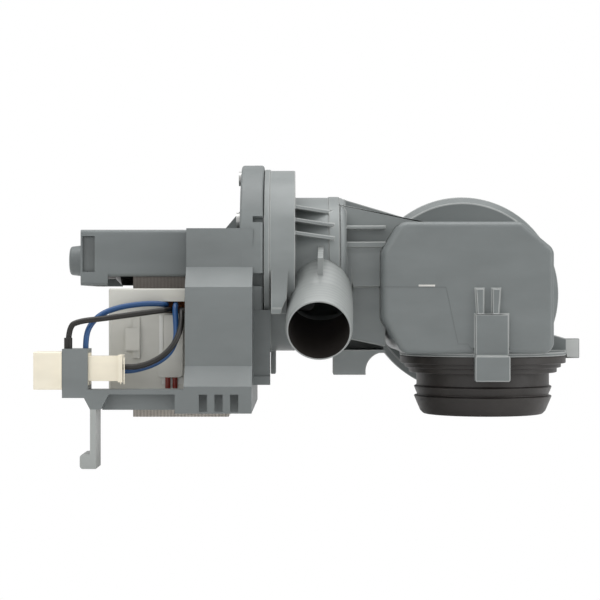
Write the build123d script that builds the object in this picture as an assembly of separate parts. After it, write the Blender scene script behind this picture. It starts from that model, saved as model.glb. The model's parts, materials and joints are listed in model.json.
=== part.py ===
from build123d import *
import math
import os

# Washer drain pump. Millimetres, +Z up.
# The origin is the centre of the inlet seal's lower rim. X runs along the motor
# axis towards the filter housing, and Y runs from the outlet side to the filter cap.

# Driving dimensions of the layout
axis_height = 67.6
pump_offset = 61.0
filter_axis_x = -3.0
filter_axis_drop = 14.6
overrun = 2.0
joint_gap = 0.3
slip_gap = 0.1
running_gap = 0.05
lengthwise_share = 0.5
inner_round_share = 0.5

# Inlet seal
seal_bore_radius = 25.5
seal_seat_radius = 25.9
seal_seat_z = 8.0
seal_rim_radius = 26.3
seal_rim_round = 1.4
seal_body_radius = 29.0
seal_lip_radius = 30.5
seal_neck_radius = 29.3
seal_step_radius = 32.7
seal_shoulder_radius = 34.5
seal_flange_radius = 36.6
seal_body_z = 4.4
seal_lip_low_z = 8.0
seal_lip_high_z = 12.2
seal_lip_back = 0.5
seal_neck_top_z = 18.4
seal_shoulder_z = 20.6
seal_flange_z = 22.5
seal_top_z = 25.8

# Filter housing: box, barrel, collar and inlet spigot
housing_wall = 3.0
box_left = -46.0
box_right = 26.5
box_top_rise = 15.8
box_bottom = 27.4
box_front = -38.0
box_back = 38.0
box_flare = 1.5
corner_left_width = 7.7
corner_left_height = 12.6
corner_right_width = 14.0
corner_right_height = 11.6
corner_low_width = 8.1
corner_low_height = 14.6
box_corner_round = 5.0
box_edge_round = 2.6
seal_plate_radius = 36.8
seal_plate_thickness = 1.8
spigot_wall = 2.3
spigot_end_z = 8.6
barrel_radius = 33.0
barrel_wall = 3.2
barrel_end_wall = 2.0
collar_radius = 46.8
collar_face_y = 64.0
collar_plate = 3.0
collar_end_y = 80.0
collar_rim = 2.6
collar_bevel = 3.0
side_tab_x = 43.0
side_tab_low_z = 24.4
side_tab_high_z = 33.2
side_tab_thickness = 3.0
side_gusset_height = 8.5
side_gusset_thickness = 2.0

# Clip, ribs and slot on the front of the filter box
clip_x = -0.1
clip_waist = 14.0
clip_head_width = 14.8
clip_high_z = 44.2
clip_low_z = 15.8
clip_head_z = 24.6
clip_depth = 2.4
clip_head_depth = 5.0
clip_rib_width = 3.4
clip_rib_height = 10.8
clip_rib_depth = 2.0
clip_rib_pitch = 7.0
clip_rib_shift = 1.6
clip_rib_taper = 0.8
clip_corner_round = 0.9

# Pump chamber: ring, volute, suction duct, fins and foot
ring_radius = 39.9
ring_length = 13.3
ring_seat_radius = 33.4
ring_seat_depth = 3.0
ring_lip_rise = 0.5
ring_lip_width = 2.5
chamber_radius = 28.0
chamber_length = 22.2
chamber_wall = 3.0
chamber_shoulder = 3.0
chamber_band_rise = 0.4
chamber_band_width = 4.6
duct_half_width = 20.0
duct_top_rise = 5.4
duct_bottom_drop = 35.6
duct_wall = 2.6
duct_step = 1.6
duct_slant = 4.2
duct_ledge = 2.4
duct_ledge_proud = 1.2
duct_rib = 1.4
duct_rib_z = 27.2
duct_seam_drop = 11.6
eye_radius = 11.5
fin_thickness = 1.6
fin_drop = 2.2
fin_count = 3
fin_first_rise = 23.4
fin_pitch = 5.7
fin_reach = 3.0
web_thickness = 2.6
web_top_rise = 27.9
web_end_reach = 22.0
web_end_rise = 0.2
shelf_rise = 14.8
shelf_thickness = 1.4
front_web_y = -15.0
front_web_rise = 24.4
front_web_end_rise = 0.2
lug_left_reach = 3.2
lug_right_reach = 9.9
lug_high_drop = 3.8
lug_knee_drop = 15.6
lug_low_drop = 23.3
lug_knee_y = -44.8
lug_low_y = -45.8
lug_lip = 2.4
lug_lip_rise = 0.6
lug_root_y = -33.6
keel_width = 2.2
keel_half_depth = 6.0
keel_low_drop = 50.0
foot_left_reach = 5.7
foot_right_reach = 8.5
foot_low_drop = 49.9
foot_high_drop = 40.4
foot_tip_reach = 14.4
foot_arc_sag_reach = 10.0
foot_arc_sag_drop = 43.4
foot_depth = 16.0

# Outlet nozzle
nozzle_radius = 14.1
nozzle_root_half_width = 13.7
nozzle_root_half_height = 19.0
nozzle_root_rise = 4.0
nozzle_grip_length = 14.0
hose_space = 2.5
nozzle_bore_length = 26.0
nozzle_wall = 1.3
nozzle_tilt = 23.5
nozzle_yaw = 1.8
nozzle_root_reach = 10.5
nozzle_root_y = -1.4
nozzle_root_drop = 8.1
nozzle_length = 55.2
nozzle_mouth_bevel = 0.7
nozzle_mouth_band = 2.2
nozzle_fin_width = 2.3
nozzle_fin_rise = 9.2
nozzle_fin_start = 17.0
nozzle_fin_length = 15.7

# Motor bracket: flange and stepped skirt
flange_thickness = 9.8
flange_radius = 42.2
flange_round = 1.2
skirt_length = 27.9
skirt_wall = 1.4
skirt_end_wall = 2.0
skirt_overlap = 5.6
skirt_top_rise = 12.8
skirt_side_gap = 3.4
skirt_main_step = 9.0
skirt_cage_step = 9.0
skirt_upper_drop = 3.5
skirt_main_drop = 12.0
skirt_main_low_drop = 44.8
skirt_cage_drop = 52.9
skirt_bottom_drop = 64.0
skirt_back_drop = 54.6
vent_count = 3
vent_wall_depth = 7.0
vent_width = 3.4
vent_pitch = 6.4
vent_first_reach = 6.3
vent_low_drop = 63.4
vent_high_drop = 56.2
notch_count = 6
notch_first_angle = 36.6
notch_height = 2.9
notch_depth = 3.0
notch_length = 4.3
window_high_drop = 6.1
window_low_drop = 11.6
window_depth = 6.0
apron_right_reach = 2.8
apron_front_y = -36.4
apron_wall = 1.6
apron_low_drop = 53.3
apron_high_drop = 21.6
apron_foot = 3.6
gusset_rise = 9.5
gusset_length = 8.0
gusset_thickness = 2.2
gusset_y = -10.0

# Connector arm, holder and hook of the bracket
arm_left_reach = 49.8
arm_top_drop = 54.1
arm_depth = 7.5
arm_rib_width = 3.6
arm_recess_left_reach = 30.7
arm_recess_top_drop = 56.1
arm_slope_reach = 33.9
arm_pier_drop = 62.3
arm_step_reach = 40.8
arm_step_drop = 57.6
arm_panel_low_drop = 62.8
arm_panel = 1.5
holder_right_reach = 39.3
holder_top_drop = 37.5
holder_depth = 14.0
holder_wall = 1.6
hook_thickness = 2.4
hook_right_reach = 35.9
hook_depth = 17.6
hook_low_drop = 86.7
hook_foot_left_reach = 42.5
hook_foot_height = 6.0
hook_round = 1.4

# Rear cover with its stud
cover_length = 45.4
cover_side_gap = 2.0
cover_wall = 1.3
cover_top_rise = 12.6
cover_low_drop = 7.4
cover_lip_drop = 11.2
cover_lip_length = 8.6
cover_end_wall = 3.0
cover_round = 1.6
cover_slot_length = 5.2
cover_slot_low = 5.3
cover_slot_high = 9.8
cover_slot_depth = 2.6
cover_slot_inset = 0.8
stud_radius = 7.25
stud_tip_radius = 6.25
stud_length = 8.4
stud_round = 1.2

# Stator core
stack_length = 40.9
stack_clearance = 4.9
core_half = 30.0
leg_width = 14.0
core_top_rise = 10.6
core_bottom_drop = 67.3
yoke_height = 9.6
pole_gap = 0.4

# Coils and coil cover
coil_top_drop = 12.5
coil_low_drop = 56.8
bobbin_wall = 1.2
bobbin_flange = 1.4
winding_depth = 5.4
winding_round = 3.0
coil_gap = 0.4
coil_cover_wall = 1.3
coil_cover_round = 1.6
coil_cover_side = 8.6
coil_cover_left = 9.6
coil_cover_right_gap = 0.3
latch_width = 3.0
latch_block_width = 6.0
latch_reach = 21.2
latch_low_drop = 41.9
latch_high_drop = 24.6
latch_block_low_drop = 38.7
latch_block_high_drop = 29.2
latch_depth = 1.2
latch_block_depth = 2.2
side_block_left_reach = 9.6
side_block_right_reach = 1.6
side_block_low_drop = 43.6
side_block_high_drop = 23.7
side_block_depth = 1.6
guide_left_reach = 10.0
guide_right_reach = 0.8
guide_high_drop = 16.6
guide_low_drop = 18.0
guide_depth = 1.9
guide_hole_low_drop = 23.0
protector_boss_left_reach = 12.1
protector_boss_high_drop = 42.3
protector_boss_depth = 1.8

# Rotor can, bearings, rotor and impeller
can_radius = 11.0
can_wall = 1.2
can_overhang = 10.1
can_end_wall = 1.6
can_end_round = 2.5
can_flange_radius = 32.8
can_flange = 2.6
o_ring_thickness = 3.0
o_ring_radius = 31.4
shaft_radius = 2.0
shaft_tip_gap = 1.0
bush_radius = 4.0
bush_length = 6.0
magnet_radius = 9.4
magnet_length = 33.0
magnet_start = 6.0
dog_length = 4.0
dog_inner_radius = 4.4
dog_outer_radius = 8.2
dog_angle = 80.0
cam_angle = 80.0
cam_hub_radius = 3.9
washer_radius = 5.0
washer_thickness = 1.0
impeller_hub_radius = 7.0
impeller_back_radius = 20.5
impeller_back = 2.0
impeller_radius = 22.0
impeller_width = 15.0
impeller_vanes = 6
impeller_vane = 1.8
impeller_gap = 1.6
nut_radius = 3.6
nut_length = 3.0
front_mount_length = 9.0
damper_radius = 8.0

# Flange screws
screw_count = 3
screw_pitch_angle = 63.0
screw_first_angle = 27.0
screw_circle = 36.4
screw_radius = 1.7
screw_head_radius = 3.2
screw_head = 1.6
screw_length = 21.0

# Connectors and their pins
socket_left_reach = 61.5
socket_low_drop = 54.2
socket_high_drop = 38.7
socket_proud = 0.3
socket_back_inset = 13.4
socket_wall = 1.2
socket_depth = 8.0
socket_round = 0.6
pin_side = 0.8
pin_length = 6.0
pin_count = 2
pin_pitch = 3.4
plug_right_reach = 25.2
plug_flange = 1.8
plug_low_drop = 50.7
plug_high_drop = 40.5
plug_front_inset = 1.6
plug_back_inset = 11.4
plug_flange_rise = 0.5

# Leads
lead_radius = 1.2
sleeve_radius = 1.7
sleeve_length = 4.5
lead_arc_share = 0.45
lead_route_left = -128.9
lead_route_half = 60.0
lead_route_height = 67.6

# Filter basket, cap and seal ring
basket_gap = 1.2
basket_taper = 7.0
basket_taper_y = 40.5
basket_wall = 1.6
basket_front_y = -24.0
basket_slot_count = 8
basket_slot_width = 8.0
basket_slot_start_y = -16.0
basket_slot_end_y = 24.0
basket_end_opening = 10.0
cap_sleeve_gap = 0.4
cap_sleeve_front_y = 47.0
cap_gap = 6.2
cap_plate = 5.0
cap_grip_length = 58.0
cap_grip_width = 9.0
cap_grip_height = 11.0
cap_grip_round = 2.0
cap_notch_count = 24
cap_notch_radius = 1.4
cap_ring_y = 55.0
cap_ring_thickness = 2.4
fuse_reach = 4.9
fuse_pitch = 3.0
fuse_lead_radius = 1.1
fuse_lead_low_drop = 54.6
fuse_lead_high_drop = 50.0
protector_length = 12.0
protector_height = 12.0
protector_low_drop = 43.6

# Radii of the filter pieces, from the barrel outwards and inwards
barrel_bore = barrel_radius - barrel_wall
basket_radius = barrel_bore - basket_gap
basket_narrow_radius = basket_radius - basket_taper
cap_sleeve_radius = barrel_bore - cap_sleeve_gap
cap_radius = collar_radius - collar_rim - cap_gap

# Places that follow the height of the motor axis and the width of the core
coil_cover_half = core_half + coil_cover_side
skirt_upper_half = coil_cover_half + skirt_side_gap
skirt_main_half = skirt_upper_half + skirt_main_step
skirt_cage_half = skirt_main_half + skirt_cage_step
cover_half = core_half + cover_side_gap
vent_low_z = axis_height - vent_low_drop
vent_high_z = axis_height - vent_high_drop
apron_low_z = axis_height - apron_low_drop
apron_high_z = axis_height - apron_high_drop
arm_top_z = axis_height - arm_top_drop
arm_recess_top_z = axis_height - arm_recess_top_drop
arm_pier_z = axis_height - arm_pier_drop
arm_step_z = axis_height - arm_step_drop
arm_panel_low_z = axis_height - arm_panel_low_drop
holder_top_z = axis_height - holder_top_drop
hook_low_z = axis_height - hook_low_drop
latch_low_z = axis_height - latch_low_drop
latch_high_z = axis_height - latch_high_drop
latch_block_low_z = axis_height - latch_block_low_drop
latch_block_high_z = axis_height - latch_block_high_drop
side_block_low_z = axis_height - side_block_low_drop
side_block_high_z = axis_height - side_block_high_drop
guide_high_z = axis_height - guide_high_drop
guide_low_z = axis_height - guide_low_drop
guide_hole_low_z = axis_height - guide_hole_low_drop
protector_boss_high_z = axis_height - protector_boss_high_drop
socket_low_z = axis_height - socket_low_drop
socket_high_z = axis_height - socket_high_drop
plug_low_z = axis_height - plug_low_drop
plug_high_z = axis_height - plug_high_drop
fuse_lead_low_z = axis_height - fuse_lead_low_drop
fuse_lead_high_z = axis_height - fuse_lead_high_drop
protector_low_z = axis_height - protector_low_drop
lug_high_z = axis_height - lug_high_drop
lug_knee_z = axis_height - lug_knee_drop
lug_low_z = axis_height - lug_low_drop
keel_low_z = axis_height - keel_low_drop
fin_first_z = axis_height + fin_first_rise
duct_top_z = axis_height + duct_top_rise
duct_bottom_z = axis_height - duct_bottom_drop
duct_seam_z = axis_height - duct_seam_drop
web_top_z = axis_height + web_top_rise
shelf_z = axis_height + shelf_rise
front_web_z = axis_height + front_web_rise
foot_low_z = axis_height - foot_low_drop
foot_high_z = axis_height - foot_high_drop
foot_arc_sag_z = axis_height - foot_arc_sag_drop
box_top = axis_height + box_top_rise
filter_axis_z = axis_height - filter_axis_drop
arm_back_y = -skirt_cage_half + arm_depth
holder_back_y = -skirt_cage_half + holder_depth
hook_back_y = -skirt_cage_half + hook_depth
socket_front_y = -skirt_cage_half - socket_proud
socket_back_y = -skirt_cage_half + socket_back_inset
plug_front_y = -skirt_cage_half + plug_front_inset
plug_back_y = -skirt_cage_half + plug_back_inset
web_end_z = box_top + web_end_rise
front_web_end_z = box_top + front_web_end_rise

# Places along the motor axis, from the filter housing to the rear stud
chamber_x1 = -pump_offset
chamber_x0 = chamber_x1 - chamber_length
ring_x0 = chamber_x0 - ring_length
flange_x1 = ring_x0 - joint_gap
flange_x0 = flange_x1 - flange_thickness
skirt_x1 = flange_x0 + skirt_overlap
skirt_x0 = skirt_x1 - skirt_length
stack_x1 = flange_x0 - stack_clearance
stack_x0 = stack_x1 - stack_length
can_x0 = stack_x0 - can_overhang
cover_x1 = skirt_x0 - joint_gap
cover_x0 = cover_x1 - cover_length
magnet_x0 = can_x0 + can_end_wall + bush_length + magnet_start
magnet_x1 = magnet_x0 + magnet_length
front_mount_x1 = flange_x1
front_mount_x0 = front_mount_x1 - front_mount_length
impeller_x0 = ring_x0 + ring_seat_depth + impeller_gap
barrel_end_y = collar_face_y + collar_plate
cap_face_y = barrel_end_y + joint_gap
spigot_radius = seal_seat_radius - slip_gap
# Places that follow the skirt, the ring, the chamber and the filter box
vent_first_x = skirt_x0 + vent_first_reach
arm_left_x = skirt_x0 - arm_left_reach
arm_recess_left_x = skirt_x0 - arm_recess_left_reach
arm_slope_x = skirt_x0 - arm_slope_reach
arm_step_x = skirt_x0 - arm_step_reach
holder_right_x = skirt_x0 - holder_right_reach
hook_right_x = skirt_x0 - hook_right_reach
hook_foot_left_x = skirt_x0 - hook_foot_left_reach
latch_x = skirt_x0 - latch_reach
side_block_left_x = skirt_x0 - side_block_left_reach
side_block_right_x = skirt_x0 - side_block_right_reach
guide_left_x = skirt_x0 - guide_left_reach
guide_right_x = skirt_x0 - guide_right_reach
protector_boss_left_x = skirt_x0 - protector_boss_left_reach
socket_left_x = skirt_x0 - socket_left_reach
plug_right_x = skirt_x0 - plug_right_reach
fuse_x = skirt_x0 - fuse_reach
lug_left_x = ring_x0 + lug_left_reach
lug_right_x = ring_x0 + lug_right_reach
apron_right_x = ring_x0 + apron_right_reach
nozzle_root_x = chamber_x1 - nozzle_root_reach
foot_left_x = chamber_x1 - foot_left_reach
foot_right_x = chamber_x1 + foot_right_reach
foot_tip_x = chamber_x1 + foot_tip_reach
foot_arc_sag_x = chamber_x1 + foot_arc_sag_reach
web_end_x = box_left + web_end_reach


def block(x0, x1, y0, y1, z0, z1):
    """A rectangular block between two corners."""
    middle = ((x0 + x1) / 2, (y0 + y1) / 2, (z0 + z1) / 2)
    return Pos(*middle) * Box(abs(x1 - x0), abs(y1 - y0), abs(z1 - z0))


def rod_x(radius, x0, x1, y=0.0, z=axis_height):
    """A round rod along X, on the motor axis unless y and z say otherwise."""
    turn = Rotation(0, 90, 0)
    return Pos((x0 + x1) / 2, y, z) * turn * Cylinder(radius, abs(x1 - x0))


def rod_y(radius, y0, y1, x, z):
    """A round rod along Y."""
    turn = Rotation(90, 0, 0)
    return Pos(x, (y0 + y1) / 2, z) * turn * Cylinder(radius, abs(y1 - y0))


def rod_z(radius, z0, z1, x=0.0, y=0.0):
    """A round rod along Z."""
    return Pos(x, y, (z0 + z1) / 2) * Cylinder(radius, abs(z1 - z0))


def prism(points, direction):
    """A prism from a closed outline of 3-D points, pushed along a vector."""
    face = make_face(Polyline(*points, close=True))
    length = Vector(direction).length
    return extrude(face, amount=length, dir=Vector(direction).normalized())


def prism_x(outline, x0, x1):
    """A prism along X from points in Y and Z."""
    return prism([(x0, y, z) for y, z in outline], (x1 - x0, 0, 0))


def prism_y(outline, y0, y1):
    """A prism along Y from points in X and Z."""
    return prism([(x, y0, z) for x, z in outline], (0, y1 - y0, 0))


def prism_z(outline, z0, z1):
    """A prism along Z from points in X and Y."""
    return prism([(x, y, z0) for x, y in outline], (0, 0, z1 - z0))


def turned_x(outline, y=0.0, z=axis_height):
    """A solid of revolution about an X axis from points in X and radius."""
    points = [(x, y, z + radius) for x, radius in outline]
    face = make_face(Polyline(*points, close=True))
    return revolve(face, Axis((0, y, z), (1, 0, 0)))


def turned_y(outline, x, z):
    """A solid of revolution about a Y axis from points in Y and radius."""
    points = [(x, y, z + radius) for y, radius in outline]
    face = make_face(Polyline(*points, close=True))
    return revolve(face, Axis((x, 0, z), (0, 1, 0)))


def turned_z(outline):
    """A solid of revolution about the Z axis from points in radius and Z."""
    face = make_face(Polyline(*[(radius, 0, z) for radius, z in outline], close=True))
    return revolve(face, Axis.Z)


def sector_x(inner, outer, x0, x1, start, sweep):
    """A part of a ring about the motor axis, from a start angle through a sweep."""
    ring = rod_x(outer, x0, x1) - rod_x(inner, x0 - overrun, x1 + overrun)
    reach = outer * 2
    steps = 4
    corners = [(0.0, axis_height)]
    for step in range(steps + 1):
        angle = math.radians(start + sweep * step / steps)
        corners.append((reach * math.cos(angle), axis_height + reach * math.sin(angle)))
    return ring & prism_x(corners, x0 - overrun, x1 + overrun)


def make_inlet_seal():
    """Rubber seal: stepped flange, neck and two outer lips."""
    outline = [
        (seal_bore_radius, 0),
        (seal_rim_radius, 0),
        (seal_rim_radius + seal_rim_round, seal_rim_round),
        (seal_body_radius, seal_body_z),
        (seal_lip_radius, seal_lip_low_z),
        (seal_body_radius, seal_lip_low_z + seal_lip_back),
        (seal_lip_radius, seal_lip_high_z),
        (seal_neck_radius, seal_lip_high_z + seal_lip_back),
        (seal_neck_radius, seal_neck_top_z),
        (seal_step_radius, seal_neck_top_z),
        (seal_step_radius, seal_shoulder_z),
        (seal_shoulder_radius, seal_shoulder_z),
        (seal_shoulder_radius, seal_flange_z),
        (seal_flange_radius, seal_flange_z),
        (seal_flange_radius, seal_top_z),
        (seal_seat_radius, seal_top_z),
        (seal_seat_radius, seal_seat_z),
        (seal_bore_radius, seal_seat_z),
    ]
    return turned_z(outline)


def box_outline(grow):
    """Corners of the filter box in X and Z, moved outwards by a distance."""
    left = box_left - grow
    right = box_right + grow
    top = box_top
    bottom = box_bottom
    return [
        (left + corner_left_width, top),
        (right - corner_right_width, top),
        (right, top - corner_right_height),
        (right, bottom),
        (left + corner_low_width, bottom),
        (left, bottom + corner_low_height),
        (left, top - corner_left_height),
    ]


def box_section(y, grow, inset):
    """A flat section of the filter box, with rounded corners."""
    points = [(x, y, z) for x, z in box_outline(grow)]
    face = make_face(Polyline(*points, close=True))
    if inset > 0:
        face = offset(face, amount=-inset, kind=Kind.INTERSECTION)
    return face


def make_box(inset):
    """The filter box widening towards the back, or its cavity when inset."""
    front = box_section(box_front + inset, 0, inset)
    back = box_section(box_back - inset, box_flare, inset)
    body = loft([front, back], ruled=True)
    lengthwise = body.edges().filter_by(lambda edge: edge.length > (box_back - box_front) / 2)
    lengthwise = [edge for edge in lengthwise if abs(edge.tangent_at(0).Y) > lengthwise_share]
    body = fillet(lengthwise, box_corner_round - inset * inner_round_share)
    if inset == 0:
        body = fillet(body.faces().sort_by(Axis.Y)[0].edges(), box_edge_round)
    return body


def make_filter_housing():
    """Filter box, inlet spigot, clip and side tab in one moulding."""
    body = make_box(0)
    plate_top = box_bottom + housing_wall
    body += rod_z(seal_plate_radius, seal_top_z, seal_top_z + seal_plate_thickness)
    body += rod_z(spigot_radius, spigot_end_z, box_bottom + overrun)
    gusset = [
        (box_right, plate_top + side_gusset_height),
        (box_right, seal_top_z),
        (seal_plate_radius, seal_top_z),
        (seal_plate_radius, seal_top_z + seal_plate_thickness),
    ]
    half = side_gusset_thickness / 2
    body += prism_y(gusset, -half, half)
    body += make_side_tab()
    body += make_clip()
    body -= make_box(housing_wall)
    body -= filter_opening(box_back - housing_wall - overrun, box_back + overrun)
    body -= rod_z(spigot_radius - spigot_wall, spigot_end_z - overrun, plate_top + overrun)
    body -= rod_x(eye_radius, box_left - box_flare - overrun, box_left + box_flare + housing_wall)
    return body


def filter_opening(y0, y1):
    """Way between box and barrel: the bore of the barrel above the floor of the box."""
    low = filter_axis_z - barrel_radius
    left = filter_axis_x - barrel_radius
    right = filter_axis_x + barrel_radius
    way = rod_y(barrel_bore, y0, y1, filter_axis_x, filter_axis_z)
    return way - block(left, right, y0, y1, low, box_bottom + housing_wall)


def make_filter_barrel():
    """Barrel and collar of the filter cap, welded to the back of the filter box."""
    axis = (filter_axis_x, filter_axis_z)
    collar = [
        (collar_face_y, 0),
        (collar_face_y, collar_radius - collar_bevel),
        (collar_face_y + collar_bevel, collar_radius),
        (collar_end_y, collar_radius),
        (collar_end_y, collar_radius - collar_rim),
        (barrel_end_y, collar_radius - collar_rim),
        (barrel_end_y, 0),
    ]
    inner_y = box_back + barrel_end_wall
    body = rod_y(barrel_radius, box_back, barrel_end_y, *axis) + turned_y(collar, *axis)
    body -= rod_y(barrel_bore, inner_y, collar_end_y + overrun, *axis)
    return body - filter_opening(box_back - overrun, inner_y + overrun)


def make_side_tab():
    """Mounting tab at the right, joined to the round seal plate."""
    inner_x = box_right
    outline = [
        (inner_x, side_tab_high_z + side_tab_thickness),
        (seal_plate_radius, side_tab_high_z),
        (side_tab_x, side_tab_high_z),
        (side_tab_x, side_tab_low_z),
        (seal_plate_radius, side_tab_low_z),
        (seal_plate_radius, seal_top_z),
        (inner_x, seal_top_z),
    ]
    front = -side_gusset_thickness / 2
    return prism_y(outline, front, front + side_tab_thickness)


def make_clip():
    """Front clip of the seal: twin ribs, waisted strap and square head."""
    front = box_front - clip_depth
    half = clip_waist / 2
    head = clip_head_width / 2
    strap = block(clip_x - half, clip_x + half, front, box_front + overrun, clip_head_z, clip_high_z)
    foot = block(
        clip_x - head,
        clip_x + head,
        box_front - clip_head_depth,
        box_front + joint_gap,
        clip_low_z,
        clip_head_z + overrun,
    )
    foot = fillet(foot.edges().filter_by(Axis.Y), clip_corner_round)
    body = strap + foot
    for side in (-1, 1):
        middle = clip_x - clip_rib_shift + side * clip_rib_pitch / 2
        outer = middle + side * clip_rib_width / 2
        inner = middle - side * clip_rib_width / 2
        rib = [
            (outer - side * clip_rib_taper, clip_high_z - overrun),
            (inner, clip_high_z - overrun),
            (inner, clip_high_z + clip_rib_height),
            (outer, clip_high_z + clip_rib_height),
        ]
        body += prism_y(rib, box_front - clip_rib_depth, box_front + overrun)
    return body


def nozzle_frame():
    """Place and direction of the outlet nozzle, its local +Z pointing out of the mouth."""
    root = (nozzle_root_x, nozzle_root_y, axis_height - nozzle_root_drop)
    tilt = math.radians(nozzle_tilt)
    yaw = math.radians(nozzle_yaw)
    out = (-math.sin(yaw), -math.cos(yaw) * math.cos(tilt), -math.sin(tilt))
    return Plane(origin=root, x_dir=(1, 0, 0), z_dir=out)


def make_nozzle_rod(radius, start, end):
    """A rod on the nozzle axis between two distances from its root."""
    frame = nozzle_frame()
    return frame * Pos(0, 0, (start + end) / 2) * Cylinder(radius, end - start)


def make_nozzle_taper(inset, length):
    """Taper on the nozzle axis from the oval root to a round section, inset by a wall."""
    frame = nozzle_frame()
    oval = Ellipse(nozzle_root_half_width - inset, nozzle_root_half_height - inset)
    root = frame * Pos(0, nozzle_root_rise, 0) * oval
    end = frame * Pos(0, 0, length) * Circle(nozzle_radius - inset)
    return loft([root, end])


def nozzle_bore():
    """Bore of the nozzle: straight behind the mouth, then oval to the root."""
    bore = nozzle_radius - nozzle_wall
    straight = nozzle_length - nozzle_bore_length
    rod = make_nozzle_rod(bore, straight, nozzle_length + overrun)
    return rod + make_nozzle_taper(nozzle_wall, straight)


def chamber_outside():
    """Outer drum of the volute that the nozzle grows out of."""
    return rod_x(chamber_radius, ring_x0, chamber_x1 + duct_wall)


def make_pump_chamber():
    """Ring, volute drum, suction duct, ribs and foot in one moulding."""
    drum = rod_x(chamber_radius, chamber_x0 - overrun, chamber_x1)
    drum = fillet(drum.faces().sort_by(Axis.X)[-1].edges(), chamber_shoulder)
    ring = rod_x(ring_radius, ring_x0, chamber_x0)
    lip = rod_x(ring_radius + ring_lip_rise, ring_x0, ring_x0 + ring_lip_width)
    band_x0 = chamber_x1 - chamber_shoulder - chamber_band_width
    band = rod_x(chamber_radius + chamber_band_rise, band_x0, band_x0 + chamber_band_width)
    body = drum + ring + lip + band
    body += make_ring_lug()
    keel_x = ring_x0 + ring_lip_width
    keel_top = axis_height - ring_radius + overrun
    body += block(keel_x, keel_x + keel_width, -keel_half_depth, keel_half_depth, keel_low_z, keel_top)
    body += make_duct()
    body += make_fins()
    body += make_foot()
    inner = chamber_radius - chamber_wall
    cavity = rod_x(inner, ring_x0 + ring_seat_depth - overrun, chamber_x1 - chamber_wall)
    seat = rod_x(ring_seat_radius, ring_x0 - overrun, ring_x0 + ring_seat_depth)
    eye = rod_x(eye_radius, chamber_x1 - chamber_wall - overrun, box_left + overrun)
    body = body - cavity - seat - eye
    body -= nozzle_bore()
    body -= nozzle_solid() - chamber_outside()
    grip_end = nozzle_length - nozzle_mouth_band
    body -= make_nozzle_rod(nozzle_radius + hose_space, grip_end - nozzle_grip_length, nozzle_length)
    for x, y, z in screw_places(ring_x0):
        body -= rod_x(screw_radius + running_gap, x - overrun, x + screw_length - flange_thickness, y, z)
    return body - filter_box_space()


def make_ring_lug():
    """Locking lug on the outlet side of the ring, stepping outwards as it goes down."""
    outline = [
        (lug_root_y, lug_high_z),
        (-ring_radius + ring_lip_rise, lug_high_z),
        (lug_knee_y, lug_knee_z),
        (lug_low_y, lug_low_z + lug_lip),
        (lug_low_y - lug_lip_rise, lug_low_z + lug_lip),
        (lug_low_y - lug_lip_rise, lug_low_z),
        (lug_root_y, lug_low_z),
    ]
    return prism_x(outline, lug_left_x, lug_right_x)


def filter_box_space():
    """Space taken by the filter box, cut from what meets it."""
    return make_box(0)


def make_duct():
    """Suction duct between the filter box and the volute, stepped at its seam."""
    x0 = chamber_x1 - chamber_shoulder
    x1 = box_left + overrun
    upper = block(x0, x1, -duct_half_width, duct_half_width, duct_seam_z, duct_top_z)
    lower_half = duct_half_width - duct_step
    slanted = [
        (x0, duct_seam_z),
        (x1, duct_seam_z),
        (x1, duct_bottom_z - duct_slant / 2),
        (x0, duct_bottom_z + duct_slant / 2),
    ]
    lower = prism_y(slanted, -lower_half, lower_half)
    ledge_half = duct_half_width + duct_ledge_proud
    ledge = block(x0, x1, -ledge_half, ledge_half, duct_top_z, duct_top_z + duct_ledge)
    rib = block(foot_left_x, x1, -lower_half, lower_half, duct_rib_z, duct_rib_z + duct_rib)
    post = block(foot_left_x, foot_left_x + duct_rib, -lower_half, lower_half, duct_rib_z, duct_seam_z)
    middle = block(x0, x1, -duct_rib / 2, duct_rib / 2, duct_rib_z, duct_seam_z)
    body = upper + lower + ledge + rib + post + middle
    web = [
        (chamber_x1 - chamber_shoulder, web_top_z),
        (web_end_x, web_end_z),
        (web_end_x, duct_top_z),
        (chamber_x1 - chamber_shoulder, duct_top_z),
    ]
    body += prism_y(web, -web_thickness / 2, web_thickness / 2)
    front_web = [
        (x0, front_web_z),
        (web_end_x, front_web_end_z),
        (web_end_x, duct_top_z),
        (x0, duct_top_z),
    ]
    body += prism_y(front_web, front_web_y, front_web_y + web_thickness)
    body += prism_y(front_web, -front_web_y - web_thickness, -front_web_y)
    body += block(
        x0, x1, -duct_half_width, duct_half_width, shelf_z - shelf_thickness, shelf_z
    )
    return body


def make_fins():
    """Sloping fins that brace the ring against the volute on both sides."""
    x0 = chamber_x0
    x1 = chamber_x1 - chamber_shoulder - chamber_band_width / 2
    fins = []
    for side in (-1, 1):
        for index in range(fin_count):
            z = fin_first_z - index * fin_pitch
            rise = z - axis_height
            ring_y = math.sqrt(ring_radius ** 2 - rise ** 2) - fin_reach
            drum_y = math.sqrt(max(chamber_radius ** 2 - rise ** 2, fin_reach ** 2))
            outline = [
                (x0, 0),
                (x1, 0),
                (x1, side * (drum_y + fin_reach)),
                (x0, side * ring_y),
            ]
            fin = prism_z(outline, z - fin_thickness, z)
            slope = math.degrees(math.atan(fin_drop / (x1 - x0)))
            hinge = Pos(x0, 0, z)
            fins.append(hinge * Rotation(0, slope, 0) * hinge.inverse() * fin)
    body = fins[0]
    for fin in fins[1:]:
        body += fin
    return body


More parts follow.
